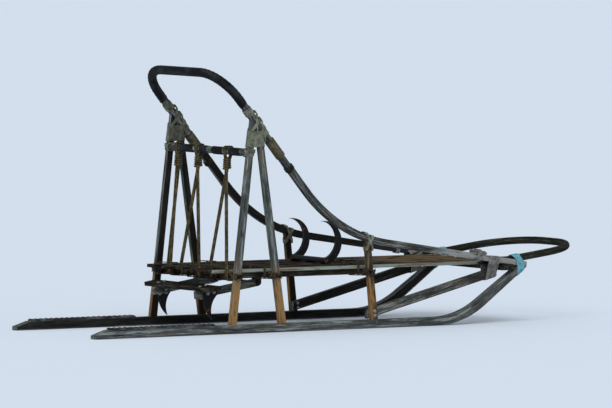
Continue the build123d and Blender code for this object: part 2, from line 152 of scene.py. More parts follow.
# %% A socket that behaves like a number
class Wire:
    def __init__(self, tree, socket):
        self.tree, self.socket = tree, socket

    def node(self, kind, inputs=None, settings=None, out=0):
        made = self.tree.nodes.new(kind)
        for key, value in (settings or {}).items():
            setattr(made, key, value)
        for key, value in (inputs or {}).items():
            if isinstance(value, Wire):
                self.tree.links.new(value.socket, made.inputs[key])
            else:
                made.inputs[key].default_value = value
        return Wire(self.tree, made.outputs[out])

    def maths(self, operation, first, second):
        return self.node("ShaderNodeMath", {0: first, 1: second}, {"operation": operation})

    def sine(self):
        return self.node("ShaderNodeMath", {0: self}, {"operation": "SINE"})

    def size(self):
        return self.node("ShaderNodeMath", {0: self}, {"operation": "ABSOLUTE"})

    def __add__(self, other):
        return self.maths("ADD", self, other)

    def __sub__(self, other):
        return self.maths("SUBTRACT", self, other)

    def __rsub__(self, other):
        return self.maths("SUBTRACT", other, self)

    def __mul__(self, other):
        return self.maths("MULTIPLY", self, other)

    __radd__ = __add__
    __rmul__ = __mul__

    def part(self, axis):
        """One of these coordinates by itself: 0, 1 or 2."""
        return self.node("ShaderNodeSeparateXYZ", {0: self}, out=axis)

    def stretched(self, scale, offset=(0.0, 0.0, 0.0)):
        """These coordinates scaled by one number for each axis, then shifted."""
        return self.node("ShaderNodeMapping", {"Vector": self, "Scale": scale, "Location": offset})

    def noise(self, detail, roughness=0.55):
        """Noise with blotches about as wide as one unit of these coordinates."""
        return self.node("ShaderNodeTexNoise", {"Vector": self, "Scale": 1.0, "Detail": detail,
                                                "Roughness": roughness})

    def between(self, low, high):
        """A mask that rises from 0 at low to 1 at high, smoothly and with no overshoot."""
        return self.node("ShaderNodeMapRange", {"Value": self, "From Min": low, "From Max": high},
                         {"interpolation_type": "SMOOTHSTEP", "clamp": True})

    def blend(self, first, second):
        """First colour where this mask is 0, second where it is 1."""
        return self.node("ShaderNodeMix", {"Factor": self, 6: first, 7: second}, {"data_type": "RGBA"},
                         out=2)


# %% A material that is written as a formula
class Finish(Wire):
    """A new material. Its own socket is the surface's place, in object coordinates."""

    def __init__(self, name):
        self.material = bpy.data.materials.new(name)
        self.material.use_nodes = True
        tree = self.material.node_tree
        super().__init__(tree, tree.nodes.new("ShaderNodeTexCoord").outputs["Object"])
        self.surface = tree.nodes["Principled BSDF"]
        print("finish", name)

    def attribute(self, name):
        return self.node("ShaderNodeAttribute", settings={"attribute_name": name}, out="Vector")

    def uv(self):
        return self.node("ShaderNodeUVMap", settings={"uv_map": "UVMap"})

    def dress(self, **values):
        names = {"colour": "Base Color", "roughness": "Roughness", "metallic": "Metallic",
                 "specular": "Specular IOR Level"}
        for key, value in values.items():
            socket = self.surface.inputs[names[key]]
            if isinstance(value, Wire):
                self.tree.links.new(value.socket, socket)
            else:
                socket.default_value = value

    def raise_by(self, height, depth):
        """Lets a height mask tilt the surface, with its full depth in metres."""
        bump = self.node("ShaderNodeBump", {"Height": height, "Distance": depth})
        self.tree.links.new(bump.socket, self.surface.inputs["Normal"])


def rgb(red, green, blue):
    """A colour picked on screen, 0 to 255, as the linear colour that a shader wants."""
    linear = [((c / 255 + 0.055) / 1.055) ** 2.4 if c > 10 else c / 255 / 12.92 for c in (red, green, blue)]
    return (*linear, 1.0)


# %% Floor
FLOOR_WIDTH = 240.0
floor_finish = Finish("pale_floor")
floor_finish.dress(colour=rgb(222, 231, 242), roughness=0.9, specular=0.2)
bpy.ops.object.select_all(action="DESELECT")
bpy.ops.mesh.primitive_plane_add(size=FLOOR_WIDTH, location=(0, 0, 0))
floor = bpy.context.object
floor.name = "floor"
floor.data.materials.append(floor_finish.material)
print("floor", FLOOR_WIDTH, "wide")


# %% [markdown]
# ## Grain that follows each stick
# Wood grain runs along a stick, also where it is bent. So every wooden node gets its own coordinates: how far
# along its centre line a point is, how far to the side, and how far up. They are stored in a mesh attribute
# called grain, and each stick starts at another place in the pattern, as boards from one tree differ.

# %% Grain coordinates
# How far the pattern moves from one stick to the next: along the grain, sideways and upwards.
STICK_SHIFT = (3.7, 0.31, 0.17)
# A run whose sideways direction comes out shorter than this is nearly upright.
UPRIGHT = 0.3


def spans(route):
    """The straight runs of a route, each as its two ends."""
    return list(zip(route, route[1:]))


def route_length(route):
    return sum((second - first).length for first, second in spans(route))


def lay_grain(mesh, route, seed):
    """Stores distance along the route, sideways and upwards offsets, for each point of a mesh."""
    values = []
    runs = spans(route)
    starts = [0.0]
    for first, second in runs:
        starts.append(starts[-1] + (second - first).length)
    for vertex in mesh.vertices:
        best = None
        for start, (first, second) in zip(starts, runs):
            way = (second - first).normalized()
            run = (vertex.co - first).dot(way)
            held = min(max(run, 0.0), (second - first).length)
            gap = (vertex.co - first - way * held).length
            if best is None or gap < best[0]:
                best = (gap, start + run, first + way * run, way)
        _, along, foot, way = best
        offset = vertex.co - foot
        side = way.cross(Vector((0, 0, 1)))
        side = side.normalized() if side.length > UPRIGHT else Vector((0, 1, 0))
        parts = (along, offset.dot(side), offset.dot(side.cross(way)))
        values += [part + seed * shift for part, shift in zip(parts, STICK_SHIFT)]
    grain = mesh.attributes.new("grain", "FLOAT_VECTOR", "POINT")
    grain.data.foreach_set("vector", values)


# %% [markdown]
# ## Weathered ash
# Years of sun and snow turn ash grey on the outside and leave warmer wood in places. Long thin fibres come
# from noise that is stretched along the grain, and a much finer one adds single hairs. Cracks are the darkest
# part of another, and slow blotches are stains. All of them read the grain coordinates, so they bend with the
# wood. The rest depends on where a stick is. The faces that look in at the basket are painted nearly black as
# painted shade, and that mask reads how far a point is from the sled's centre line.
# The front of the rails and the slats is bleached, the bed's outer edges look frosted, and below the bed the
# snow has kept the posts clean and tan.

# %% One weathered wood
CRACK_COLOUR = rgb(22, 19, 16)
PAINTED_SHADE_COLOUR = rgb(17, 15, 13)
SNOW_LINE = 0.19


def inboard_mask(finish, edge, ragged):
    """A mask that is 1 where a point is nearer to the centre line than the edge, with a ragged border."""
    off_centre = finish.part(1).size()
    return 1 - (off_centre + ragged * 0.006).between(edge + 0.001, edge + 0.007)


def ash(name, dark, mid, pale, stain, under, warm=None, painted_shade_edge=None, frosted_edge=None,
        bleached_ahead=None, bleached_tone=None):
    wood = Finish(name)
    grain = wood.attribute("grain")
    fibre = grain.stretched((17.0, 360.0, 360.0)).noise(detail=6.0, roughness=0.66)
    band = grain.stretched((5.0, 80.0, 80.0)).noise(detail=3.0)
    crack = grain.stretched((11.0, 230.0, 230.0), (3.0, 1.0, 2.0)).noise(detail=2.0)
    blotch = grain.stretched((9.0, 26.0, 26.0), (9.0, 4.0, 1.0)).noise(detail=4.0)
    streak = grain.stretched((6.0, 110.0, 110.0), (5.0, 2.0, 7.0)).noise(detail=3.0)
    hair = grain.stretched((45.0, 1500.0, 1500.0), (1.0, 6.0, 3.0)).noise(detail=2.0)
    split = 1 - crack.between(0.30, 0.37)
    tone = (fibre * 0.55 + band * 0.35 + hair * 0.35).between(0.48, 0.76)
    colour = tone.blend(dark, mid)
    colour = (streak.between(0.53, 0.64) * 0.65).blend(colour, under)
    colour = (fibre * band + hair * 0.20).between(0.34, 0.46).blend(colour, pale)
    if bleached_ahead is not None:
        ahead = wood.part(0) + blotch * 0.1
        bleached = ahead.between(bleached_ahead + 0.05, bleached_ahead + 0.17) * (fibre * 0.9 + 0.25)
        colour = bleached.blend(colour, bleached_tone)
    if warm is not None:
        low = 1 - (wood.part(2) + blotch * 0.12).between(SNOW_LINE, SNOW_LINE + 0.14)
        colour = (low * 0.85).blend(colour, warm)
    colour = (blotch.between(0.50, 0.66) * 0.75).blend(colour, stain)
    # Painted shade: faces nearer the centre line than the given edge, which look in at the basket, are
    # darkened nearly black.
    if painted_shade_edge is not None:
        colour = (inboard_mask(wood, painted_shade_edge, blotch) * 0.93).blend(colour, PAINTED_SHADE_COLOUR)
    if frosted_edge is not None:
        frost = streak.between(0.47, 0.57).blend(rgb(150, 158, 147), rgb(124, 108, 96))
        colour = (0.88 - inboard_mask(wood, frosted_edge, fibre) * 0.88).blend(colour, frost)
    colour = (split * 0.85).blend(colour, CRACK_COLOUR)
    wood.dress(colour=colour, roughness=blotch * 0.2 + 0.75, specular=0.08)
    wood.raise_by(fibre * 0.7 - split + band * 0.3 + hair * 0.4, 0.0020)
    return wood.material


# %% The woods of this sled
# A wood that is given an edge from the centre line gets painted shade, nearly black, on the faces that look
# in at the basket.
driftwood = ash("weathered_ash", rgb(46, 49, 48), rgb(92, 96, 93), rgb(140, 143, 138), rgb(50, 51, 46),
                under=rgb(104, 84, 58))
brace_wood = ash("brace_ash", rgb(40, 42, 42), rgb(82, 86, 84), rgb(132, 134, 130), rgb(42, 43, 40),
                 under=rgb(92, 76, 56), painted_shade_edge=0.2205)
rail_wood = ash("rail_ash", rgb(38, 41, 41), rgb(76, 80, 80), rgb(128, 131, 128), rgb(40, 42, 39),
                under=rgb(84, 70, 54), painted_shade_edge=0.2405,
                bleached_ahead=0.36, bleached_tone=rgb(158, 158, 156))
handle_wood = ash("handle_ash", rgb(38, 41, 40), rgb(78, 83, 81), rgb(124, 128, 125), rgb(42, 44, 41),
                  under=rgb(82, 68, 50))
runner_wood = ash("runner_ash", rgb(50, 54, 53), rgb(94, 99, 98), rgb(140, 145, 143), rgb(55, 58, 57),
                  under=rgb(106, 95, 80), painted_shade_edge=0.2335)
post_wood = ash("post_ash", rgb(50, 54, 53), rgb(98, 103, 101), rgb(142, 147, 143), rgb(50, 52, 50),
                under=rgb(108, 92, 68), warm=rgb(150, 115, 70), painted_shade_edge=0.2420)
stanchion_wood = ash("stanchion_ash", rgb(38, 33, 26), rgb(76, 66, 50), rgb(118, 108, 90),
                     rgb(40, 36, 30), under=rgb(96, 70, 42), warm=rgb(148, 112, 70), painted_shade_edge=0.2420)
bed_wood = ash("bed_ash", rgb(14, 12, 10), rgb(32, 29, 25), rgb(72, 70, 62), rgb(12, 11, 10),
               under=rgb(58, 40, 24))
slat_wood = ash("slat_ash", rgb(14, 12, 10), rgb(34, 30, 25), rgb(74, 71, 62), rgb(12, 11, 10),
                under=rgb(92, 58, 32), frosted_edge=0.2030,
                bleached_ahead=0.26, bleached_tone=rgb(104, 86, 60))
brush_wood = ash("brush_ash", rgb(18, 20, 15), rgb(36, 40, 31), rgb(72, 78, 70), rgb(24, 24, 17),
                 under=rgb(56, 48, 28))

# %% [markdown]
# ## Centre lines
# The handle, the rails, the runners and the brush bow are steamed and bent, so their centre lines are
# straight runs that are joined by arcs. An arc that touches both runs is found from their corner and its
# radius alone. Every other stick is straight. Where it is level or nearly so, the long middle line of its
# node's box is enough, and a leaning one has its two ends written down.

# %% Arcs, legs and rails
BOW_CORNER_RADIUS = 0.125
RAIL_BEND_RADIUS = 0.640
RAIL_TIP = 1.386
# Distances down the handle's leg, from the grip's corner: its end, and where the rail begins beside it.
HANDLE_LOW = 0.50
RAIL_HIGH = 0.33
HANDLE_CORNER = {side: place(GRIP[0], side * SIDE_Y, GRIP[1]) for _, side in SIDES}


def bent(corner, radius, before, after, steps=12):
    """Points round one corner of a route, as an arc that touches both straight parts."""
    into = (corner - before).normalized()
    out = (after - corner).normalized()
    turn = into.angle(out)
    inward = (out - into * into.dot(out)).normalized()
    start = corner - into * radius * math.tan(turn / 2)
    arc = []
    for step in range(steps + 1):
        angle = turn * step / steps
        arc.append(start + into * radius * math.sin(angle) + inward * radius * (1 - math.cos(angle)))
    return arc


def knee_corner(side):
    """Where the straight leg and the straight rail would cross."""
    rise = GRIP[1] + GRIP[0] * math.tan(LEG_ANGLE) - rail_height(0.0)
    station = rise / (math.tan(LEG_ANGLE) - math.tan(RAIL_ANGLE))
    return place(station, side * SIDE_Y, leg_height(station))


def leg_point(side, distance):
    """A point on the handle leg's centre line, a distance below the grip's corner."""
    return HANDLE_CORNER[side] + Vector((math.cos(LEG_ANGLE), 0, -math.sin(LEG_ANGLE))) * distance


def handle_route():
    low = {side: leg_point(side, HANDLE_LOW) for _, side in SIDES}
    route = [low[-1]]
    route += bent(HANDLE_CORNER[-1], BOW_CORNER_RADIUS, low[-1], HANDLE_CORNER[1])
    route += bent(HANDLE_CORNER[1], BOW_CORNER_RADIUS, HANDLE_CORNER[-1], low[1])
    return route + [low[1]]


def rail_route(side):
    front = place(RAIL_TIP, side * SIDE_Y, rail_height(RAIL_TIP))
    start = leg_point(side, RAIL_HIGH)
    return [start] + bent(knee_corner(side), RAIL_BEND_RADIUS, start, front) + [front]


print("handle", round(route_length(handle_route()), 3), "rail", round(route_length(rail_route(1)), 3))

# %% Runners, brush bow and straight sticks
# The heel, the bend's corner and the tip of a runner, as stations and heights.
RUNNER_LINE = ((-0.630, 0.0165), (1.073, 0.0165), (1.372, 0.226))
RUNNER_BEND_RADIUS = 0.3835
BRUSH_BACK, BRUSH_NOSE, BRUSH_FRONT = 1.184, 1.316, 1.704
BRUSH_Y, BRUSH_HEIGHT, BRUSH_RISE = 0.225, 0.236, 0.049
BRUSH_CORNER_RADIUS = 0.19


def runner_route(side):
    heel, corner, tip = (place(station, side * SIDE_Y, z) for station, z in RUNNER_LINE)
    return [heel] + bent(corner, RUNNER_BEND_RADIUS, heel, tip) + [tip]


def brush_route():
    back = {side: place(BRUSH_BACK, side * BRUSH_Y, BRUSH_HEIGHT) for _, side in SIDES}
    nose = {side: place(BRUSH_NOSE, side * BRUSH_Y, BRUSH_HEIGHT) for _, side in SIDES}
    front = {side: place(BRUSH_FRONT, side * BRUSH_Y, BRUSH_HEIGHT + BRUSH_RISE) for _, side in SIDES}
    hoop = bent(front[-1], BRUSH_CORNER_RADIUS, nose[-1], front[1])
    hoop += bent(front[1], BRUSH_CORNER_RADIUS, front[-1], nose[1])
    return [back[-1], nose[-1]] + hoop + [nose[1], back[1]]


def straight(name):
    """The long middle line of a box-shaped node."""
    low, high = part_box(name)
    centre = (low + high) / 2
    size = high - low
    axis = max(range(3), key=lambda index: size[index])
    first, second = centre.copy(), centre.copy()
    first[axis], second[axis] = low[axis], high[axis]
    return [first, second]


print("runner", round(route_length(runner_route(1)), 3), "brush bow", round(route_length(brush_route()), 3))

# %% [markdown]
# ## Lay the grain and paint the wood
# One list pairs each wooden node with its centre line and its wood. A stick's place in the list also decides
# where in the pattern it starts, so no two sticks have the same streaks.

# %% Paint every stick
POST_HALF_WIDTH = 0.010
# The foot and the front end of a front brace, as stations and heights.
BRACE_LINE = ((0.640, 0.0516), (1.256, 0.196))
SLATS = 5


def paint(name, material):
    for material_slot in nodes[name].material_slots:
        material_slot.material = material


def straight_sticks(material, *names):
    return [(name, straight(name), material) for name in names]


wood_plan = [("handle_bow", handle_route(), handle_wood), ("brush_bow", brush_route(), brush_wood)]
wood_plan += straight_sticks(bed_wood, "brake_bar")
for side_name, side in SIDES:
    wood_plan.append((f"side_rail_{side_name}", rail_route(side), rail_wood))
    wood_plan.append((f"runner_{side_name}", runner_route(side), runner_wood))
    for post, line in POST_LINES.items():
        material = stanchion_wood if post == "front_stanchion" else post_wood
        post_line = [place(station, side * SIDE_Y, z) for station, z in line]
        wood_plan.append((f"{post}_{side_name}", post_line, material))
    brace_y = side * (SIDE_Y - 2 * POST_HALF_WIDTH)
    brace_line = [place(station, brace_y, z) for station, z in BRACE_LINE]
    wood_plan.append((f"front_brace_{side_name}", brace_line, brace_wood))
    wood_plan += straight_sticks(driftwood, f"brake_arm_{side_name}")
    wood_plan += straight_sticks(bed_wood, f"bed_beam_{side_name}")
wood_plan += straight_sticks(bed_wood, "rear_crosspiece", "middle_crosspiece", "front_crosspiece",
                             "nose_crosspiece")
wood_plan += straight_sticks(driftwood, "back_crossbar")
wood_plan += straight_sticks(slat_wood, *(f"bed_slat_{index + 1}" for index in range(SLATS)))
for seed, (name, route, material) in enumerate(wood_plan):
    lay_grain(nodes[name].data, route, seed)
    paint(name, material)
print("wooden nodes", len(wood_plan))


# %% [markdown]
# ## Tape, cord, steel, rubber and plastic
# Everything on the sled that isn't wood gets its own finish. The cords read their UV map, whose first number
# is made to be the distance along the cord in metres, so the twist of the strands has its real pitch.

# %% Cord finishes
def cord_finish(name, fresh, faded, strands=3, lay=0.014, braided=False, painted_shade_edge=None):
    cord = Finish(name)
    along = cord.uv().part(0)
    around = cord.uv().part(1)
    twist = ((around * strands + along * (strands / lay)) * math.tau).sine()
    if braided:
        twist = twist * ((around * strands - along * (strands / lay)) * math.tau).sine()
    wear = cord.stretched((60.0, 60.0, 60.0)).noise(detail=4.0)
    hair = cord.stretched((900.0, 900.0, 900.0)).noise(detail=1.0)
    groove = twist.between(-0.9, 0.1)
    colour = wear.between(0.38, 0.64).blend(fresh, faded)
    # Painted shade on the side of a lashing nearer the centre line, for a cord that is given an edge.
    if painted_shade_edge is not None:
        colour = (inboard_mask(cord, painted_shade_edge, wear) * 0.45).blend(colour, rgb(36, 33, 27))
    colour = ((1 - groove) * 0.7).blend(colour, CRACK_COLOUR)
    cord.dress(colour=colour, roughness=hair * 0.2 + 0.75, specular=0.12)
    cord.raise_by(groove + hair * 0.15, 0.0007)
    return cord.material


brown_cord = cord_finish("brown_cord", rgb(62, 51, 37), rgb(92, 82, 62))
lacing_rope = cord_finish("lacing_rope", rgb(66, 56, 36), rgb(104, 94, 66), lay=0.026)
# The khaki lashings get painted shade on the side nearer the sled's centre line.
khaki_cord = cord_finish("khaki_cord", rgb(118, 121, 104), rgb(162, 166, 146), painted_shade_edge=0.2400)
grey_cord = cord_finish("grey_cord", rgb(122, 119, 115), rgb(160, 157, 152))
teal_cord = cord_finish("teal_cord", rgb(86, 170, 188), rgb(140, 198, 210), strands=4, lay=0.010,
                        braided=True)
tan_cord = cord_finish("tan_cord", rgb(96, 90, 68), rgb(128, 122, 98))
dark_cord = cord_finish("dark_cord", rgb(40, 36, 32), rgb(66, 58, 48))


# %% Steel
def dark_steel():
    steel = Finish("dark_steel")
    grime = steel.stretched((34.0, 34.0, 34.0)).noise(detail=5.0, roughness=0.65)
    speck = steel.stretched((420.0, 420.0, 420.0)).noise(detail=2.0)
    rust = (grime + speck * 0.25).between(0.75, 0.84)
    colour = speck.between(0.3, 0.7).blend(rgb(13, 13, 15), rgb(34, 34, 36))
    rusty = speck.between(0.35, 0.65).blend(rgb(84, 46, 26), rgb(122, 74, 42))
    steel.dress(colour=rust.blend(colour, rusty), roughness=rust * 0.3 + grime * 0.2 + 0.42,
                metallic=(1 - rust) * 0.4, specular=0.2)
    steel.raise_by(rust * 0.8 + speck * 0.2, 0.0006)
    return steel.material


def zinc_steel():
    zinc = Finish("zinc_steel")
    cloud = zinc.stretched((160.0, 160.0, 160.0)).noise(detail=3.0)
    colour = cloud.between(0.35, 0.7).blend(rgb(112, 112, 110), rgb(164, 162, 156))
    spot = cloud.between(0.62, 0.70)
    zinc.dress(colour=spot.blend(colour, rgb(118, 84, 58)), roughness=cloud * 0.3 + 0.3, metallic=0.8)
    zinc.raise_by(cloud, 0.0003)
    return zinc.material


# %% Rubber, plastic and tape
def pad_rubber():
    rubber = Finish("pad_rubber")
    dust = rubber.stretched((26.0, 50.0, 50.0)).noise(detail=5.0, roughness=0.7)
    pebble = rubber.stretched((700.0, 700.0, 700.0)).noise(detail=2.0)
    worn = (dust + pebble * 0.1).between(0.48, 0.68)
    rubber.dress(colour=worn.blend(rgb(32, 32, 33), rgb(92, 91, 88)), roughness=dust * 0.2 + 0.66,
                 specular=0.25)
    rubber.raise_by(pebble, 0.0005)
    return rubber.material


def shoe_plastic():
    plastic = Finish("shoe_plastic")
    scratch = plastic.stretched((3.0, 420.0, 420.0)).noise(detail=4.0, roughness=0.7)
    haze = plastic.stretched((9.0, 40.0, 40.0)).noise(detail=3.0)
    scuffed = (scratch + haze * 0.4).between(0.62, 0.86)
    plastic.dress(colour=scuffed.blend(rgb(30, 31, 33), rgb(104, 106, 108)), roughness=scratch * 0.3 + 0.3,
                  specular=0.35)
    plastic.raise_by(scratch, 0.0004)
    return plastic.material


def grip_tape():
    tape = Finish("grip_tape")
    laid = tape.attribute("laid")
    weave = laid.stretched((2600.0, 2600.0, 2600.0)).noise(detail=1.0)
    handled = laid.stretched((13.0, 30.0, 30.0)).noise(detail=3.0)
    crease = laid.stretched((60.0, 260.0, 260.0)).noise(detail=2.0)
    worn = (handled + weave * 0.12).between(0.50, 0.72)
    colour = worn.blend(rgb(13, 14, 16), rgb(42, 45, 48))
    tape.dress(colour=colour, roughness=handled * 0.25 + 0.6, specular=0.12)
    tape.raise_by(crease * 0.7 + weave * 0.4, 0.0006)
    return tape.material


# %% Paint the rest of the nodes
steel_finish, zinc_finish, rubber_finish = dark_steel(), zinc_steel(), pad_rubber()
plastic_finish, tape_finish = shoe_plastic(), grip_tape()
for side_name, _ in SIDES:
    paint(f"runner_shoe_{side_name}", plastic_finish)
    paint(f"foot_pad_{side_name}", rubber_finish)
    paint(f"brake_claw_{side_name}", steel_finish)
    paint(f"brake_bracket_{side_name}", steel_finish)
for name in ("brake_pivot_rod", "snow_hook"):
    paint(name, steel_finish)


# %% [markdown]
# ## How a lashing is made
# A dog sled is lashed, not nailed, because cord lets the frame flex over rough snow. Each lashing is a real
# run of cord, so it is modelled as a curve with a round bevel that goes round the sticks it holds. Cord can't
# turn a sharp corner, so each corner of a path is turned by a small arc. Modelling the turns one by one costs
# a few thousand faces a joint, and no texture on a plain band would look right from the side.

# %% Paths for cord
CORD = 0.0018
ROPE = 0.0040
EDGE_BEND = 0.0045
# From one strand's middle to the next, and from one turn of a winding to the next, in radii of the cord.
STRAND_STEP = 2.1
TURN_STEP = 2.05
# How far strands that lie across others are lifted, in radii of the cord.
CROSS_LIFT = 1.6
# A corner that turns by less than this many radians needs no arc.
SLIGHT_TURN = 0.06


def cornered(corners, bend, closed=True, steps=3):
    """A path through corners, each turned by an arc no wider than its runs allow."""
    path = []
    for index, corner in enumerate(corners):
        if not closed and index in (0, len(corners) - 1):
            path.append(corner)
            continue
        before, after = corners[index - 1], corners[(index + 1) % len(corners)]
        turn = (corner - before).angle(after - corner)
        if turn < SLIGHT_TURN:
            path.append(corner)
            continue
        room = 0.45 * min((corner - before).length, (after - corner).length)
        path += bent(corner, min(bend, room / math.tan(turn / 2)), before, after, steps)
    return path


def ring(corners, bend=EDGE_BEND):
    """A closed run of cord through corners."""
    return cornered(corners, bend), True


def wound(centre, axis, across, half_across, half_deep, turns, bend=EDGE_BEND, flare=0.0, radius=CORD):
    """One cord wound in turns, side by side, round a bundle. Flare widens it along the axis."""
    axis = axis.normalized()
    across = across.normalized()
    deep = axis.cross(across)
    outline = []
    high = half_deep + radius
    for quarter, (sign_across, sign_deep) in enumerate(((1, 1), (-1, 1), (-1, -1), (1, -1))):
        for step in range(4):
            outline.append((sign_across, sign_deep, math.radians(90 * quarter + 30 * step)))
    path = []
    for turn in range(turns):
        for index, (sign_across, sign_deep, angle) in enumerate(outline):
            shift = (turn + index / len(outline) - turns / 2) * TURN_STEP * radius
            wide = half_across + radius + flare * shift
            corner = min(bend, wide, high)
            x = sign_across * (wide - corner) + corner * math.cos(angle)
            y = sign_deep * (high - corner) + corner * math.sin(angle)
            path.append(centre + axis * shift + across * x + deep * y)
    inward = 3 * radius
    first = path[0] + (centre - path[0]).normalized() * inward
    last = path[-1] + (centre - path[-1]).normalized() * inward
    return [first] + path + [last], False


# %% One piece from many runs of cord
def curve_object(name, runs):
    """A curve with one straight-sided spline for each run, which is a path and whether it is closed."""
    shape = bpy.data.curves.new(name, "CURVE")
    shape.dimensions = "3D"
    for path, closed in runs:
        spline = shape.splines.new("POLY")
        spline.points.add(len(path) - 1)
        for point, co in zip(spline.points, path):
            point.co = (*co, 1)
        spline.use_cyclic_u = closed
    curve = bpy.data.objects.new(name, shape)
    bpy.context.scene.collection.objects.link(curve)
    return curve


def cord_piece(name, runs, radius, finish, body="root"):
    """Bevels every run into one mesh, with the UV's first number in metres along the cord."""
    piece = curve_object(name, runs)
    piece.data.bevel_depth = radius
    piece.data.bevel_resolution = 1
    bpy.ops.object.select_all(action="DESELECT")
    piece.select_set(True)
    bpy.context.view_layer.objects.active = piece
    bpy.ops.object.convert(target="MESH")
    piece = bpy.context.object
    sides = len(piece.data.vertices) // sum(len(path) for path, _ in runs)
    uv = piece.data.uv_layers[0].data
    corner = 0
    for path, closed in runs:
        whole = path + (path[:1] if closed else [])
        reach = route_length(whole)
        for _ in range((len(whole) - 1) * sides * 4):
            uv[corner].uv.x *= reach
            corner += 1
    bpy.ops.object.mode_set(mode="EDIT")
    bpy.ops.mesh.select_all(action="SELECT")
    bpy.ops.mesh.fill_holes(sides=sides)
    bpy.ops.mesh.normals_make_consistent(inside=False)
    bpy.ops.object.mode_set(mode="OBJECT")
    bpy.ops.object.shade_smooth()
    piece.data.materials.append(finish)
    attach(piece, body)
    print(name, len(runs), "runs", len(piece.data.polygons), "faces")


# %% [markdown]
# ## Crosspieces on their posts
# Each crosspiece has a tenon that goes through its post and stands proud. The classic lashing goes over the
# crosspiece inside the post and under the tenon's end outside it, three times, and then the other way round
# three times. From ahead or behind, that is an X on the post.

# %% Post and crosspiece lashings
CROSSPIECE_HEIGHT = 0.211
CROSSPIECE_HALF_WIDTH = 0.020
CROSSPIECE_HALF_HEIGHT = 0.011
TENON_HALF = (0.008, 0.006)
POST_HALF_AT_BED = 0.0146
SQUARE_STRANDS = 3


def square_lashing(side, post, height, bar_half, rise, post_half, stub=None):
    """Rings round a post and the bar that meets it: over the bar inside, under it outside, and reversed."""
    rings = []
    face_y = SIDE_Y + POST_HALF_WIDTH + CORD
    middle = post_station(post, height)
    for up in (1, -1):
        lift = 0.0 if up > 0 else CROSS_LIFT * CORD
        for strand in range(SQUARE_STRANDS):
            inner_y = SIDE_Y - POST_HALF_WIDTH - (1.6 + STRAND_STEP * strand) * CORD
            inner_z = height + up * (rise + CORD)
            if stub:
                edge_z = height - up * (stub[1] + (2.3 * strand - 1.0) * CORD)
            else:
                edge_z = height - up * (0.004 + STRAND_STEP * strand * CORD)
            edge_y = face_y + 0.4 * lift
            lean = post_station(post, edge_z) - middle
            edge = post_half + CORD + lift
            corners = [(middle - bar_half - CORD, inner_y, inner_z),
                       (middle + bar_half + CORD, inner_y, inner_z),
                       (middle + lean + edge, edge_y, edge_z)]
            if stub:
                outer_y = face_y + STRAND_STEP * strand * CORD
                outer_z = height - up * (stub[1] + CORD)
                corners += [(middle + stub[0], outer_y, outer_z), (middle - stub[0], outer_y, outer_z)]
            corners.append((middle + lean - edge, edge_y, edge_z))
            rings.append(ring([place(station, side * y, z) for station, y, z in corners]))
    return rings


post_rings = []
for _, side in SIDES:
    for post in POST_LINES:
        post_rings += square_lashing(side, post, CROSSPIECE_HEIGHT, CROSSPIECE_HALF_WIDTH,
                                     CROSSPIECE_HALF_HEIGHT, POST_HALF_AT_BED, stub=TENON_HALF)
cord_piece("post_lashings", post_rings, CORD, brown_cord)


# %% [markdown]
# ## Slats on the crosspieces
# Every slat is tied down where it crosses a crosspiece, with three turns along each diagonal. A strand goes
# down where the edges of both sticks cross, so its four corners are just outside two such crossings. The
# second diagonal lies on the first. Under the hook's shank there is no room for cord, so that one place
# stays bare.

# %% Slat lashings
SLAT_ROWS = (-0.182, -0.091, 0.0, 0.091, 0.182)
SLAT_HALF_WIDTH = 0.026
BED_TOP = 0.234
CROSSPIECE_UNDERSIDE = 0.200
SLAT_CROSS_LIFT = 1.7


def slat_lashing(station, y):
    rings = []
    for hand in (1, -1):
        lift = 0.0 if hand > 0 else SLAT_CROSS_LIFT * CORD
        top = BED_TOP + CORD + lift
        low = CROSSPIECE_UNDERSIDE - CORD - lift
        for strand in (-1, 0, 1):
            ahead = CORD * (1 + STRAND_STEP * (strand > 0))
            aside = CORD * (1 + STRAND_STEP * (strand < 0))
            front = (station + CROSSPIECE_HALF_WIDTH + ahead, y + hand * (SLAT_HALF_WIDTH + aside))
            back = (station - CROSSPIECE_HALF_WIDTH - aside, y - hand * (SLAT_HALF_WIDTH + ahead))
            corners = [place(*front, top), place(*back, top), place(*back, low), place(*front, low)]
            rings.append(ring(corners))
    return rings


slat_rings = []
for post in POST_LINES:
    station = post_station(post, CROSSPIECE_HEIGHT)
    for y in SLAT_ROWS:
        if not (post == "front_stanchion" and y == 0.0):
            slat_rings += slat_lashing(station, y)
cord_piece("slat_lashings", slat_rings, CORD, brown_cord)


# %% [markdown]
# ## Posts under the handle's legs and the rails
# The rear post and the brace post meet right under the leg, and the front stanchion ends under the rail.
# Rings go over the leg on one side of the post and round the post's other side, again as an X. Where the two
# posts come close together, one long wrap binds them, and it widens downwards as they spread. A short wrap
# above and one below keep the leg from splitting.

# %% Lashings over the post heads
LEG_WAY = Vector((math.cos(LEG_ANGLE), 0, -math.sin(LEG_ANGLE)))
LEG_UP = Vector((math.sin(LEG_ANGLE), 0, math.cos(LEG_ANGLE)))
ACROSS, AHEAD = Vector((0, 1, 0)), Vector((1, 0, 0))
UP, DOWN = Vector((0, 0, 1)), Vector((0, 0, -1))
BOW_RADIUS = 0.015
RAIL_HALF_WIDTH = 0.011
POST_HALF_AT_HEAD = 0.0125
HEAD_STRANDS = 4
# How far below the joint the first strand goes round each post.
HEAD_DROPS = {"rear_post": 0.046, "brace_post": 0.050, "front_stanchion": 0.034}


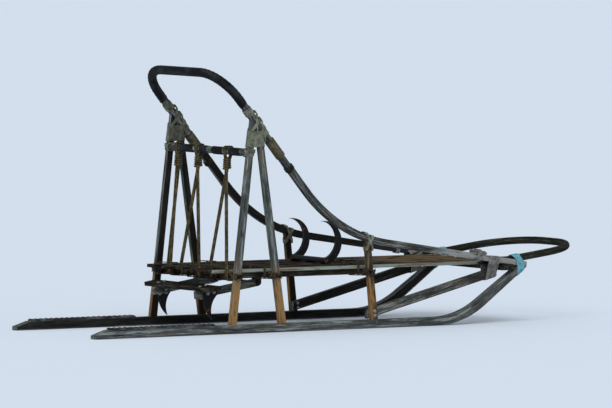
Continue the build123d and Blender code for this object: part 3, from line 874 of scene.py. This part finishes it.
def head_lashing(side, post, joint, way, up, bar_half):
    """Rings over a leg or a rail, both of which are 15 mm from the middle to the top, and round its post."""
    rings = []
    for lean in (1, -1):
        lift = 0.0 if lean > 0 else CROSS_LIFT * CORD
        for strand in range(HEAD_STRANDS):
            spread = POST_HALF_AT_HEAD + STRAND_STEP * strand * CORD
            top = joint + way * lean * spread + up * (BOW_RADIUS + CORD + lift)
            low_z = joint.z - HEAD_DROPS[post] - STRAND_STEP * strand * CORD
            low_station = post_station(post, low_z) - lean * (POST_HALF_AT_HEAD + CORD + lift)
            low = place(low_station, side * SIDE_Y, low_z)
            out_top = Vector((0, bar_half + CORD + 0.5 * lift, 0))
            out_low = Vector((0, POST_HALF_WIDTH + CORD + lift, 0))
            rings.append(ring([top + out_top, top - out_top, low - out_low, low + out_low], 2 * EDGE_BEND))
    return rings


def rail_place(side, station):
    """The rail's centre line at a station, with its direction there."""
    x = station - MIDDLE_STATION
    for first, second in spans(rail_route(side)):
        if first.x <= x <= second.x:
            return first.lerp(second, (x - first.x) / (second.x - first.x)), (second - first).normalized()
    raise ValueError("no rail at this station")


head_rings = []
for _, side in SIDES:
    for post in ("rear_post", "brace_post"):
        station, z = POST_LINES[post][1]
        joint = place(station, side * SIDE_Y, z)
        head_rings += head_lashing(side, post, joint, LEG_WAY, LEG_UP, BOW_RADIUS)
    joint, way = rail_place(side, POST_LINES["front_stanchion"][1][0])
    rail_up = Vector((-way.z, 0, way.x))
    head_rings += head_lashing(side, "front_stanchion", joint, way, rail_up, RAIL_HALF_WIDTH)
cord_piece("head_lashings", head_rings, CORD, khaki_cord)

# %% Wraps round two posts and round a leg
PAIR_HEIGHT, PAIR_TURNS, PAIR_FLARE = 0.7175, 16, 0.1385
LEG_WRAP_DISTANCES, LEG_WRAP_TURNS, ROUND_BEND = (0.190, 0.296), 8, 0.020

wraps = []
for _, side in SIDES:
    near, far = post_station("rear_post", PAIR_HEIGHT), post_station("brace_post", PAIR_HEIGHT)
    middle = place((near + far) / 2, side * SIDE_Y, PAIR_HEIGHT)
    wraps.append(wound(middle, DOWN, AHEAD, (far - near) / 2 + POST_HALF_AT_HEAD, POST_HALF_WIDTH,
                       PAIR_TURNS, flare=PAIR_FLARE))
    for distance in LEG_WRAP_DISTANCES:
        wraps.append(wound(leg_point(side, distance), LEG_WAY, ACROSS, BOW_RADIUS, BOW_RADIUS,
                           LEG_WRAP_TURNS, bend=ROUND_BEND))
cord_piece("head_wraps", wraps, CORD, khaki_cord)

# %% [markdown]
# ## Where the leg becomes the rail
# The handle's leg and the rail are cut to half their width and laid together for 160 mm. A long tight
# whipping of thin cord holds the upper half of the joint shut, and a short one holds its lower end.

# %% Lap joint whippings
LAP_START, LAP_LENGTH = 0.3305, 0.160
LAP_HALF, LAP_BEND, LAP_OFFSET = (0.013, 0.0150), 0.009, 0.002
THREAD = 0.0012
# The middle of each whipping, as a distance down the leg, with its turns and its cord.
WHIPPINGS = (("lap_whippings", LAP_START + 0.046, 34, tan_cord),
             ("lap_foot_whippings", LAP_START + LAP_LENGTH - 0.014, 8, dark_cord))
for name, distance, turns, finish in WHIPPINGS:
    laps = []
    for _, side in SIDES:
        centre = leg_point(side, distance) + ACROSS * side * LAP_OFFSET
        laps.append(wound(centre, LEG_WAY, ACROSS, *LAP_HALF, turns, bend=LAP_BEND, radius=THREAD))
    cord_piece(name, laps, THREAD, finish)

# %% [markdown]
# ## The nose
# At the nose five sticks come together on each side: runner, rail, brush bow, brace and crosspiece. Behind
# the crosspiece a grey lashing binds brush bow, rail and brace. Ahead of it a turquoise one binds the tips of
# the runner and the rail to the brush bow, and it is the only bright colour on the sled. Every ring is drawn
# round the outside of the bundle at its own station, so the edges of the sticks are written as sloped lines.

# %% Edges of the sticks at the nose
def sloped(known_station, known_height, slope):
    """A straight edge of a stick, as a function that gives its height at any station."""
    return lambda station: known_height + (station - known_station) * slope


brace_underside = sloped(1.240, 0.1748, 0.2344)
runner_underside = sloped(1.360, 0.1974, 0.7002)
brush_top = sloped(1.360, 0.2557, 0.1263)
scarf_slope = sloped(BRUSH_BACK, 0.231, 0.297)
# How far the rail's top is above its centre line: it gets thinner towards the nose.
rail_crown = sloped(0.715, 0.0152, -0.00904)
SCARF_TOP = 0.250
# How far from the centre line the sides of the sticks are.
RAIL_OUTSIDE, RUNNER_OUTSIDE, RUNNER_INSIDE = 0.261, 0.268, 0.232
BRACE_OUTSIDE, BRACE_INSIDE, BRUSH_INSIDE = 0.240, 0.220, 0.211


def rail_top(station):
    return rail_height(station) + rail_crown(station)


print("rail top at the nose crosspiece", round(rail_top(1.286), 4))

# %% Nose and tip lashings
RAIL_BELOW = 0.0135
SOLE_CORNER = 0.006


def nose_corners(station):
    """Round the scarfed end of the brush bow, the rail and the brace, seen from ahead."""
    brace_low = brace_underside(station) - CORD
    scarf = min(SCARF_TOP, scarf_slope(station))
    return [(RAIL_OUTSIDE + CORD, rail_top(station) + CORD),
            (RAIL_OUTSIDE + CORD, rail_height(station) - RAIL_BELOW), (BRACE_OUTSIDE + CORD, brace_low),
            (BRACE_INSIDE - CORD, brace_low), (BRUSH_INSIDE - CORD, 0.224),
            (BRUSH_INSIDE - CORD, scarf - 0.010), (0.222, scarf + CORD)]


def tip_corners(station):
    """Round the brush bow, the rail and the runner's tip, seen from ahead."""
    sole = runner_underside(station) - CORD
    bow_top = brush_top(station) + CORD
    return [(RAIL_OUTSIDE + CORD, rail_top(station) + CORD), (RUNNER_OUTSIDE + CORD, 0.2155),
            (RUNNER_OUTSIDE + CORD, max(sole + SOLE_CORNER, 0.190)), (0.266, sole), (0.234, sole),
            (RUNNER_INSIDE - CORD, sole + SOLE_CORNER), (BRUSH_INSIDE - CORD, bow_top - 0.024),
            (BRUSH_INSIDE - CORD, bow_top - 0.008), (0.217, bow_top), (0.233, bow_top)]


# The outline of each lashing, the station of its first ring, its number of rings and its cord.
NOSE_LASHINGS = (("nose_lashings", nose_corners, 1.2005, 13, grey_cord),
                 ("tip_lashings", tip_corners, 1.334, 9, teal_cord))
for name, corners_at, first_station, turns, finish in NOSE_LASHINGS:
    rings = []
    for _, side in SIDES:
        for turn in range(turns):
            station = first_station + turn * STRAND_STEP * CORD
            rings.append(ring([place(station, side * y, z) for y, z in corners_at(station)]))
    cord_piece(name, rings, CORD, finish)

# %% [markdown]
# ## A coil of spare cord
# The long tail of each nose lashing isn't cut off, because it mends the sled on the trail. It is coiled in
# flat loops on top of the rail, and its last turns go round the coil and the rail together. The loops lie in
# three layers of three lanes, and small sine waves keep them from looking stamped.

# %% Spare coils
COIL_CORD = 0.0022
COIL_STATION = 1.152
COIL_LOOPS, COIL_LANES, LOOP_STEPS = 9, 3, 28
COIL_REACH, COIL_HALF_WIDTH = 0.040, 0.0098
SIDE_WAVE, LIFT_WAVE = 0.002, 0.0007
RAIL_WAY = Vector((math.cos(RAIL_ANGLE), 0, -math.sin(RAIL_ANGLE)))
RAIL_UP = Vector((math.sin(RAIL_ANGLE), 0, math.cos(RAIL_ANGLE)))


def coil_loop(crown, loop):
    """One loop of a coil that lies on the rail's crown."""
    layer, lane = divmod(loop, COIL_LANES)
    reach = COIL_REACH - 0.0035 * lane + SIDE_WAVE * math.sin(5.0 * loop)
    half = COIL_HALF_WIDTH - STRAND_STEP * COIL_CORD * lane * 0.9
    path = []
    for step in range(LOOP_STEPS):
        angle = math.tau * step / LOOP_STEPS
        lift = COIL_CORD * (1.0 + 1.9 * layer) + LIFT_WAVE * math.sin(3 * angle + loop)
        along = reach * math.cos(angle) + SIDE_WAVE * math.sin(7.0 * loop)
        path.append(crown + RAIL_WAY * along + ACROSS * (half * math.sin(angle)) + RAIL_UP * lift)
    return path, True


coil_top = 6.0 * COIL_CORD
tie_half_deep = (0.012 + rail_crown(COIL_STATION) + coil_top) / 2
TIE_HALF_WIDTH, TIE_TURNS, TIE_BEND = 0.0112, 4, 0.005
coil_runs = []
for _, side in SIDES:
    crown = place(COIL_STATION, side * SIDE_Y, rail_height(COIL_STATION)) + RAIL_UP * rail_crown(COIL_STATION)
    coil_runs += [coil_loop(crown, loop) for loop in range(COIL_LOOPS)]
    coil_runs.append(wound(crown + RAIL_UP * (coil_top - tie_half_deep), RAIL_WAY, ACROSS, TIE_HALF_WIDTH,
                           tie_half_deep, TIE_TURNS, bend=TIE_BEND, radius=COIL_CORD))
cord_piece("spare_coils", coil_runs, COIL_CORD, grey_cord)

# %% [markdown]
# ## The back
# The crossbar is bound to the rear posts and then wrapped in black tape, with a gap wherever rope goes over
# it. Below it, brown rope zigzags between the crossbar and the rear crosspiece and closes the basket. It goes
# up behind the bars and down in front of them, and a little below the crossbar, extra turns pull two legs
# together.

# %% Crossbar lashings
CROSSBAR_HEIGHT = 0.668
CROSSBAR_RADIUS = 0.013
POST_HALF_AT_CROSSBAR = 0.0122
bar_rings = []
for _, side in SIDES:
    bar_rings += square_lashing(side, "rear_post", CROSSBAR_HEIGHT, CROSSBAR_RADIUS, CROSSBAR_RADIUS,
                                POST_HALF_AT_CROSSBAR)
cord_piece("crossbar_lashings", bar_rings, CORD, khaki_cord)

# %% Back lacing
TOP_TURNS = (-0.118, 0.062, 0.188)
LOW_TURNS = (-0.217, -0.0455, 0.137, 0.217)
SEIZED_HEIGHT, SEIZING_TURNS, SEIZING_FLARE = 0.622, 5, 0.12
SLAT_UNDERSIDE = 0.222
ROPE_BEND = 0.012


def lacing(shift):
    """Up behind, over the crossbar, down in front and under the crosspiece, from gap to gap of the slats."""
    top_s, low_s = post_station("rear_post", CROSSBAR_HEIGHT), post_station("rear_post", CROSSPIECE_HEIGHT)
    seized_s = post_station("rear_post", SEIZED_HEIGHT)
    top_half, low_half = CROSSBAR_RADIUS + ROPE, CROSSPIECE_HALF_WIDTH + ROPE
    low_z = CROSSPIECE_UNDERSIDE - ROPE
    corners = []
    for index, low_y in enumerate(LOW_TURNS):
        y = low_y + shift
        down = [(low_s + low_half, y, SLAT_UNDERSIDE), (low_s + low_half, y, low_z),
                (low_s - low_half, y, low_z), (low_s - low_half, y, SLAT_UNDERSIDE)]
        corners += down if index else down[1:]
        if index < len(TOP_TURNS):
            y = TOP_TURNS[index] + shift
            corners += [(seized_s - ROPE, y, SEIZED_HEIGHT), (top_s - top_half, y, CROSSBAR_HEIGHT),
                        (top_s - top_half, y, CROSSBAR_HEIGHT + top_half),
                        (top_s + top_half, y, CROSSBAR_HEIGHT + top_half),
                        (top_s + top_half, y, CROSSBAR_HEIGHT), (seized_s + ROPE, y, SEIZED_HEIGHT)]
    return cornered([place(*corner) for corner in corners[:-1]], ROPE_BEND, closed=False, steps=4), False


lace_runs = [lacing(-1.05 * ROPE), lacing(1.05 * ROPE)]
for y in TOP_TURNS:
    seizing = place(post_station("rear_post", SEIZED_HEIGHT), y, SEIZED_HEIGHT)
    lace_runs.append(wound(seizing, DOWN, ACROSS, 2.0 * ROPE, 2.0 * ROPE, SEIZING_TURNS, bend=ROPE_BEND,
                           flare=SEIZING_FLARE, radius=ROPE))
cord_piece("back_lacing", lace_runs, ROPE, lacing_rope)


# %% [markdown]
# ## Taped grips
# Friction tape goes round the handle in a spiral, and each turn laps over the last. The tape is made as it is
# laid: a thin strip's end is drawn in the plane of the bar, the Screw modifier turns it into a straight
# spiral, and a Curve modifier bends the whole spiral along the handle. The straight spiral's own coordinates
# are kept in an attribute before the bend, so the weave follows the tape.

# %% A straight spiral of tape
TAPE_PITCH, TAPE_LAP, TAPE_GAUGE = 0.019, 0.006, 0.0011
TAPE_WIDTH = TAPE_PITCH + TAPE_LAP
TAPE_CLEARANCE = 0.0002
SPIRAL_STEPS = 18


def straight_spiral(name, start, stop, turns, radius):
    """Tape round the X axis from start to stop, closed at both ends, with its flat place kept as laid."""
    middle = (start + TAPE_WIDTH / 2, 0, radius + TAPE_GAUGE)
    bpy.ops.object.select_all(action="DESELECT")
    bpy.ops.mesh.primitive_plane_add(size=1.0, location=(0, 0, 0), rotation=(math.radians(90), 0, 0))
    strip = bpy.context.object
    strip.name = name
    bpy.ops.object.transform_apply(location=True, rotation=True, scale=True)
    bpy.ops.object.mode_set(mode="EDIT")
    bpy.ops.mesh.select_all(action="SELECT")
    bpy.ops.transform.resize(value=(TAPE_WIDTH, 1.0, TAPE_GAUGE))
    bpy.ops.transform.translate(value=middle)
    bpy.ops.transform.rotate(value=TAPE_GAUGE / TAPE_WIDTH, orient_axis="Y", center_override=middle)
    bpy.ops.mesh.delete(type="ONLY_FACE")
    bpy.ops.object.mode_set(mode="OBJECT")
    screw = strip.modifiers.new("spiral", "SCREW")
    screw.axis = "X"
    screw.angle = math.tau
    screw.steps = screw.render_steps = SPIRAL_STEPS
    screw.iterations = turns
    screw.screw_offset = (stop - start - TAPE_WIDTH) / turns
    bpy.ops.object.modifier_apply(modifier=screw.name)
    bpy.ops.object.mode_set(mode="EDIT")
    bpy.ops.mesh.select_all(action="SELECT")
    bpy.ops.mesh.fill_holes(sides=4)
    bpy.ops.mesh.normals_make_consistent(inside=False)
    bpy.ops.object.mode_set(mode="OBJECT")
    laid = strip.data.attributes.new("laid", "FLOAT_VECTOR", "POINT")
    flat = []
    for vertex in strip.data.vertices:
        flat += [vertex.co.x, radius * math.atan2(vertex.co.y, vertex.co.z), 0.0]
    laid.data.foreach_set("vector", flat)
    return strip


# %% Tape bent along a bar
def taped(name, route, start, stop, bar_radius):
    turns = max(2, round((stop - start) / TAPE_PITCH))
    strip = straight_spiral(name, start, stop, turns, bar_radius + TAPE_CLEARANCE)
    guide = curve_object(f"{name}_line", [(route, False)])
    line = guide.data
    bend = strip.modifiers.new("bend", "CURVE")
    bend.object = guide
    bend.deform_axis = "POS_X"
    bpy.context.view_layer.objects.active = strip
    bpy.ops.object.modifier_apply(modifier=bend.name)
    bpy.data.objects.remove(guide)
    bpy.data.curves.remove(line)
    bpy.ops.object.shade_smooth_by_angle(angle=math.radians(40))
    strip.data.materials.append(tape_finish)
    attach(strip, "root")
    print(name, turns, "turns", len(strip.data.polygons), "faces")


# The handle's tape ends this far down each leg, and the crossbar's four lengths leave its rope turns bare.
TAPE_END = 0.170
BAR_HALF_LENGTH = 0.240
BAR_LENGTHS = ((0.030, 0.108), (0.136, 0.214), (0.238, 0.288), (0.318, 0.416))

tape_start = HANDLE_LOW - TAPE_END
taped("grip_tape", handle_route(), tape_start, route_length(handle_route()) - tape_start, BOW_RADIUS)
bar_station = post_station("rear_post", CROSSBAR_HEIGHT)
bar_line = [place(bar_station, y, CROSSBAR_HEIGHT) for y in (-BAR_HALF_LENGTH, BAR_HALF_LENGTH)]
for number, (start, stop) in enumerate(BAR_LENGTHS):
    taped(f"crossbar_tape_{number + 1}", bar_line, start, stop, CROSSBAR_RADIUS)


# %% [markdown]
# ## Bolts, screws and pegs
# The brake is bolted, the pads and the slats' front ends are screwed, and a wooden peg locks each foot in its
# runner. One of each is shaped from a cylinder and then copied to every place it is needed, turned so that
# its head faces away from the wood.

# %% One fastener of each kind
def turned(name, radius, height, bevel, segments, dish=None, dish_depth=0.0):
    """A round head standing on the XY plane, with its top edge rounded and, if asked for, a dished face."""
    bpy.ops.object.select_all(action="DESELECT")
    bpy.ops.mesh.primitive_cylinder_add(vertices=segments, radius=radius, depth=height,
                                        location=(0, 0, height / 2))
    head = bpy.context.object
    head.name = name
    bpy.ops.object.transform_apply(location=True)
    bpy.ops.object.mode_set(mode="EDIT")
    bpy.ops.mesh.select_all(action="DESELECT")
    bpy.ops.object.mode_set(mode="OBJECT")
    for edge in head.data.edges:
        edge.select = all(head.data.vertices[index].co.z > height * 0.9 for index in edge.vertices)
    bpy.ops.object.mode_set(mode="EDIT")
    bpy.ops.mesh.select_mode(type="EDGE")
    bpy.ops.mesh.bevel(offset=bevel, segments=3)
    if dish:
        bpy.ops.mesh.select_all(action="DESELECT")
        bpy.ops.object.mode_set(mode="OBJECT")
        for face in head.data.polygons:
            face.select = face.normal.z > 0.95 and face.center.length < height * 1.05
        bpy.ops.object.mode_set(mode="EDIT")
        bpy.ops.mesh.select_mode(type="FACE")
        bpy.ops.mesh.inset(thickness=dish)
        bpy.ops.transform.translate(value=(0, 0, -dish_depth))
    bpy.ops.object.mode_set(mode="OBJECT")
    bpy.ops.object.shade_smooth_by_angle(angle=math.radians(35))
    print(name, len(head.data.polygons), "faces")
    return head


coach_head = turned("coach_head", radius=0.0075, height=0.0034, bevel=0.0024, segments=20)
washer_nut = turned("washer_nut", radius=0.0062, height=0.0050, bevel=0.0008, segments=6)
screw_head = turned("screw_head", radius=0.0042, height=0.0020, bevel=0.0012, segments=14, dish=0.0018,
                    dish_depth=0.0011)
peg_end = turned("peg_end", radius=0.0040, height=0.0016, bevel=0.0007, segments=12)


# %% Copies at every place
def set_out(name, master, places, finish, body="root"):
    """Copies a fastener to each place and direction, and joins the copies into one piece."""
    copies = []
    for spot, direction in places:
        copy = master.copy()
        copy.data = master.data.copy()
        bpy.context.scene.collection.objects.link(copy)
        copy.data.transform(direction.to_track_quat("Z", "X").to_matrix().to_4x4())
        copy.data.transform(Matrix.Translation(spot))
        copies.append(copy)
    bpy.ops.object.select_all(action="DESELECT")
    for copy in copies:
        copy.select_set(True)
    bpy.context.view_layer.objects.active = copies[0]
    bpy.ops.object.join()
    piece = bpy.context.object
    piece.name = piece.data.name = name
    piece.data.materials.clear()
    piece.data.materials.append(finish)
    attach(piece, body)
    print(name, len(places), "set out")
    return piece


# %% Places on the brake's arms
PIVOT = place(post_station("brace_post", CROSSPIECE_HEIGHT), 0, 0.178)
ARM_FALL = math.radians(8.3)
ARM_BACK = Vector((-math.cos(ARM_FALL), 0, -math.sin(ARM_FALL)))
ARM_UP = Vector((-math.sin(ARM_FALL), 0, math.cos(ARM_FALL)))
ARM_Y, ARM_INNER_Y, CLAW_OUTER_Y = 0.130, 0.121, 0.145
ARM_HALF_HEIGHT, BAR_TOP = 0.014, 0.028
BAR_BOLTS_BACK, CLAW_BOLTS_BACK = (0.231, 0.259), (0.210, 0.238)


def on_arm(back, up, y):
    return PIVOT + ARM_BACK * back + ARM_UP * up + Vector((0, y, 0))


bar_bolts, bar_nuts = [], []
claw_bolts, claw_nuts = [], []
for _, side in SIDES:
    for back in BAR_BOLTS_BACK:
        bar_bolts.append((on_arm(back, BAR_TOP, side * ARM_Y), ARM_UP))
        bar_nuts.append((on_arm(back, -ARM_HALF_HEIGHT, side * ARM_Y), -ARM_UP))
    for back in CLAW_BOLTS_BACK:
        claw_bolts.append((on_arm(back, 0.0, side * CLAW_OUTER_Y), ACROSS * side))
        claw_nuts.append((on_arm(back, 0.0, side * ARM_INNER_Y), ACROSS * -side))
set_out("brake_bar_bolts", coach_head, bar_bolts + claw_bolts, zinc_finish, body="brake")
set_out("brake_nuts", washer_nut, bar_nuts + claw_nuts, zinc_finish, body="brake")

# %% Places on the sled
POST_OUTSIDE = 0.260
BRACE_BOLT_HEIGHTS = (0.047, 0.064)
# The first foot pad screw, the pad's rib pitch, and the gaps between ribs that have a screw.
FIRST_PAD_SCREW, RIB_PITCH, SCREWED_GAPS = -0.107, 0.024, (0, 5, 10, 15, 18)
PAD_TOP = RUNNER_TOP + 0.005
BRACKET_STATIONS, BRACKET_PLATE_UNDERSIDE = (0.1855, 0.2141), 0.197
PEG_DROP = 0.009
SLAT_SCREW_STATIONS = (1.267, 1.287)

brace_bolts, brace_nuts = [], []
slat_screws, pad_screws, bracket_screws = [], [], []
foot_pegs = []
for _, side in SIDES:
    out = ACROSS * side
    for z in BRACE_BOLT_HEIGHTS:
        station = post_station("front_stanchion", z)
        brace_bolts.append((place(station, side * POST_OUTSIDE, z), out))
        brace_nuts.append((place(station, side * BRACE_INSIDE, z), -out))
    for step in SCREWED_GAPS:
        pad_screws.append((place(FIRST_PAD_SCREW - RIB_PITCH * step, side * SIDE_Y, PAD_TOP), UP))
    for station in BRACKET_STATIONS:
        bracket_screws.append((place(station, side * ARM_Y, BRACKET_PLATE_UNDERSIDE), DOWN))
    for (foot, _), _ in POST_LINES.values():
        foot_pegs.append((place(foot, side * RUNNER_OUTSIDE, RUNNER_TOP - PEG_DROP), out))
        foot_pegs.append((place(foot, side * RUNNER_INSIDE, RUNNER_TOP - PEG_DROP), -out))
for y in SLAT_ROWS:
    for station in SLAT_SCREW_STATIONS:
        slat_screws.append((place(station, y, BED_TOP), UP))
set_out("brace_bolts", coach_head, brace_bolts, zinc_finish)
set_out("brace_nuts", washer_nut, brace_nuts, zinc_finish)
set_out("bed_and_pad_screws", screw_head, slat_screws + pad_screws + bracket_screws, zinc_finish)
pegs = set_out("foot_pegs", peg_end, foot_pegs, stanchion_wood)
PEG_GRAIN_LINE, PEG_SEED = [place(-0.1, 0, 0), place(0.8, 0, 0)], 40
lay_grain(pegs.data, PEG_GRAIN_LINE, PEG_SEED)
for master in (coach_head, washer_nut, screw_head, peg_end):
    bpy.data.objects.remove(master)


# %% [markdown]
# ## Brake springs
# A coiled spring on the pivot rod beside each arm lifts the brake off the ground. The coil and the leg that
# hooks under the arm turn with the brake, and the short leg that pushes on the crosspiece stays with the
# sled.

# %% Springs
SPRING_WIRE = 0.0013
SPRING_RADIUS, SPRING_TURNS, SPRING_STEPS = 0.0072, 7, 14
SPRING_INNER_Y, SPRING_OUTER_Y, SPRING_HOOK_Y = 0.0935, 0.1135, 0.133
SPRING_HOOK_BACK = 0.038
SPRING_BEND = 0.003


def spring_coil(side):
    coil = []
    for step in range(SPRING_TURNS * SPRING_STEPS + 1):
        angle = math.tau * step / SPRING_STEPS
        y = SPRING_INNER_Y + (SPRING_OUTER_Y - SPRING_INNER_Y) * step / (SPRING_TURNS * SPRING_STEPS)
        coil.append(PIVOT + Vector((SPRING_RADIUS * math.cos(angle), side * y,
                                    SPRING_RADIUS * math.sin(angle))))
    return coil


def spring_hook(side, coil_end):
    """The leg that leaves the coil, runs back beside the arm and turns in under it."""
    under = ARM_BACK * SPRING_HOOK_BACK - ARM_UP * (ARM_HALF_HEIGHT + SPRING_WIRE)
    outer = PIVOT + Vector((0, side * SPRING_OUTER_Y, 0))
    return cornered([coil_end - Vector((0, 0, 0.004)), outer - ARM_UP * 0.0120, outer + under,
                     PIVOT + Vector((0, side * SPRING_HOOK_Y, 0)) + under], SPRING_BEND, closed=False)


def spring_stop(side, coil_start):
    """The short leg that rises from the coil and bends forward under the crosspiece."""
    x, y = coil_start.x, coil_start.y - side * 0.001
    top = CROSSPIECE_UNDERSIDE - SPRING_WIRE
    return cornered([coil_start + Vector((0, side * 0.001, -0.002)),
                     coil_start + Vector((0, -side * 0.001, 0.006)), Vector((x, y, top)),
                     Vector((x + 0.008, y, top))], SPRING_BEND, closed=False)


moving, fixed = [], []
for _, side in SIDES:
    coil = spring_coil(side)
    moving.append((coil + spring_hook(side, coil[-1]), False))
    fixed.append((spring_stop(side, coil[0]), False))
cord_piece("brake_springs", moving, SPRING_WIRE, zinc_finish, "brake")
cord_piece("spring_legs", fixed, SPRING_WIRE, zinc_finish)

# %% [markdown]
# ## The snow hook
# The hook is welded from flat bar and rod, so each joint has a bead of weld. Four turns of cord round its
# shank and the middle slat keep it in place on the bed.

# %% Weld beads
HOOK_STATION, HOOK_BASE = 0.546, 0.2343
HOOK_BAR_RADIUS = 0.012
TINE_Y, TINE_HALF_GAUGE = 0.100, 0.0060
WELD_BEAD, WELD_GAP, WELD_STEPS = 0.0012, 0.0003, 16


def weld_ring(y):
    circle = []
    for step in range(WELD_STEPS):
        angle = math.tau * step / WELD_STEPS
        radius = HOOK_BAR_RADIUS + 0.0004 + 0.0003 * math.sin(5 * angle)
        circle.append(place(HOOK_STATION + radius * math.cos(angle), y,
                            HOOK_BASE + HOOK_BAR_RADIUS + radius * math.sin(angle)))
    return circle, True


welds = []
for _, side in SIDES:
    for edge in (-1, 1):
        welds.append(weld_ring(side * (TINE_Y + edge * (TINE_HALF_GAUGE + WELD_GAP))))
shank_weld = [place(HOOK_STATION + 0.0106, y * 0.001, HOOK_BASE + 0.0062) for y in range(-58, 59, 4)]
welds.append((shank_weld, False))
cord_piece("hook_welds", welds, WELD_BEAD, steel_finish)

# %% Keeper
KEEPER_STATION, KEEPER_TURNS = 0.6855, 4
KEEPER_BEND = 0.003
SHANK_HALF_WIDTH, SHANK_GAUGE = 0.0155, 0.006

# One half of a turn, from the shank's top down to the slat's underside. A whole turn starts with its first
# corner, goes down the mirrored half, and comes back up the rest of this one.
side_y = 0.0262 + CORD
half_turn = [(SHANK_HALF_WIDTH, HOOK_BASE + SHANK_GAUGE + CORD), (side_y, BED_TOP - 0.001),
             (side_y, SLAT_UNDERSIDE), (0.0250, SLAT_UNDERSIDE - CORD)]
mirrored_half = [(-y, z) for y, z in half_turn]
keeper_corners = half_turn[:1] + mirrored_half + half_turn[:0:-1]
keeper = []
for strand in range(KEEPER_TURNS):
    station = KEEPER_STATION + strand * STRAND_STEP * CORD
    keeper.append(ring([place(station, y, z) for y, z in keeper_corners], KEEPER_BEND))
cord_piece("hook_keeper", keeper, CORD, dark_cord)
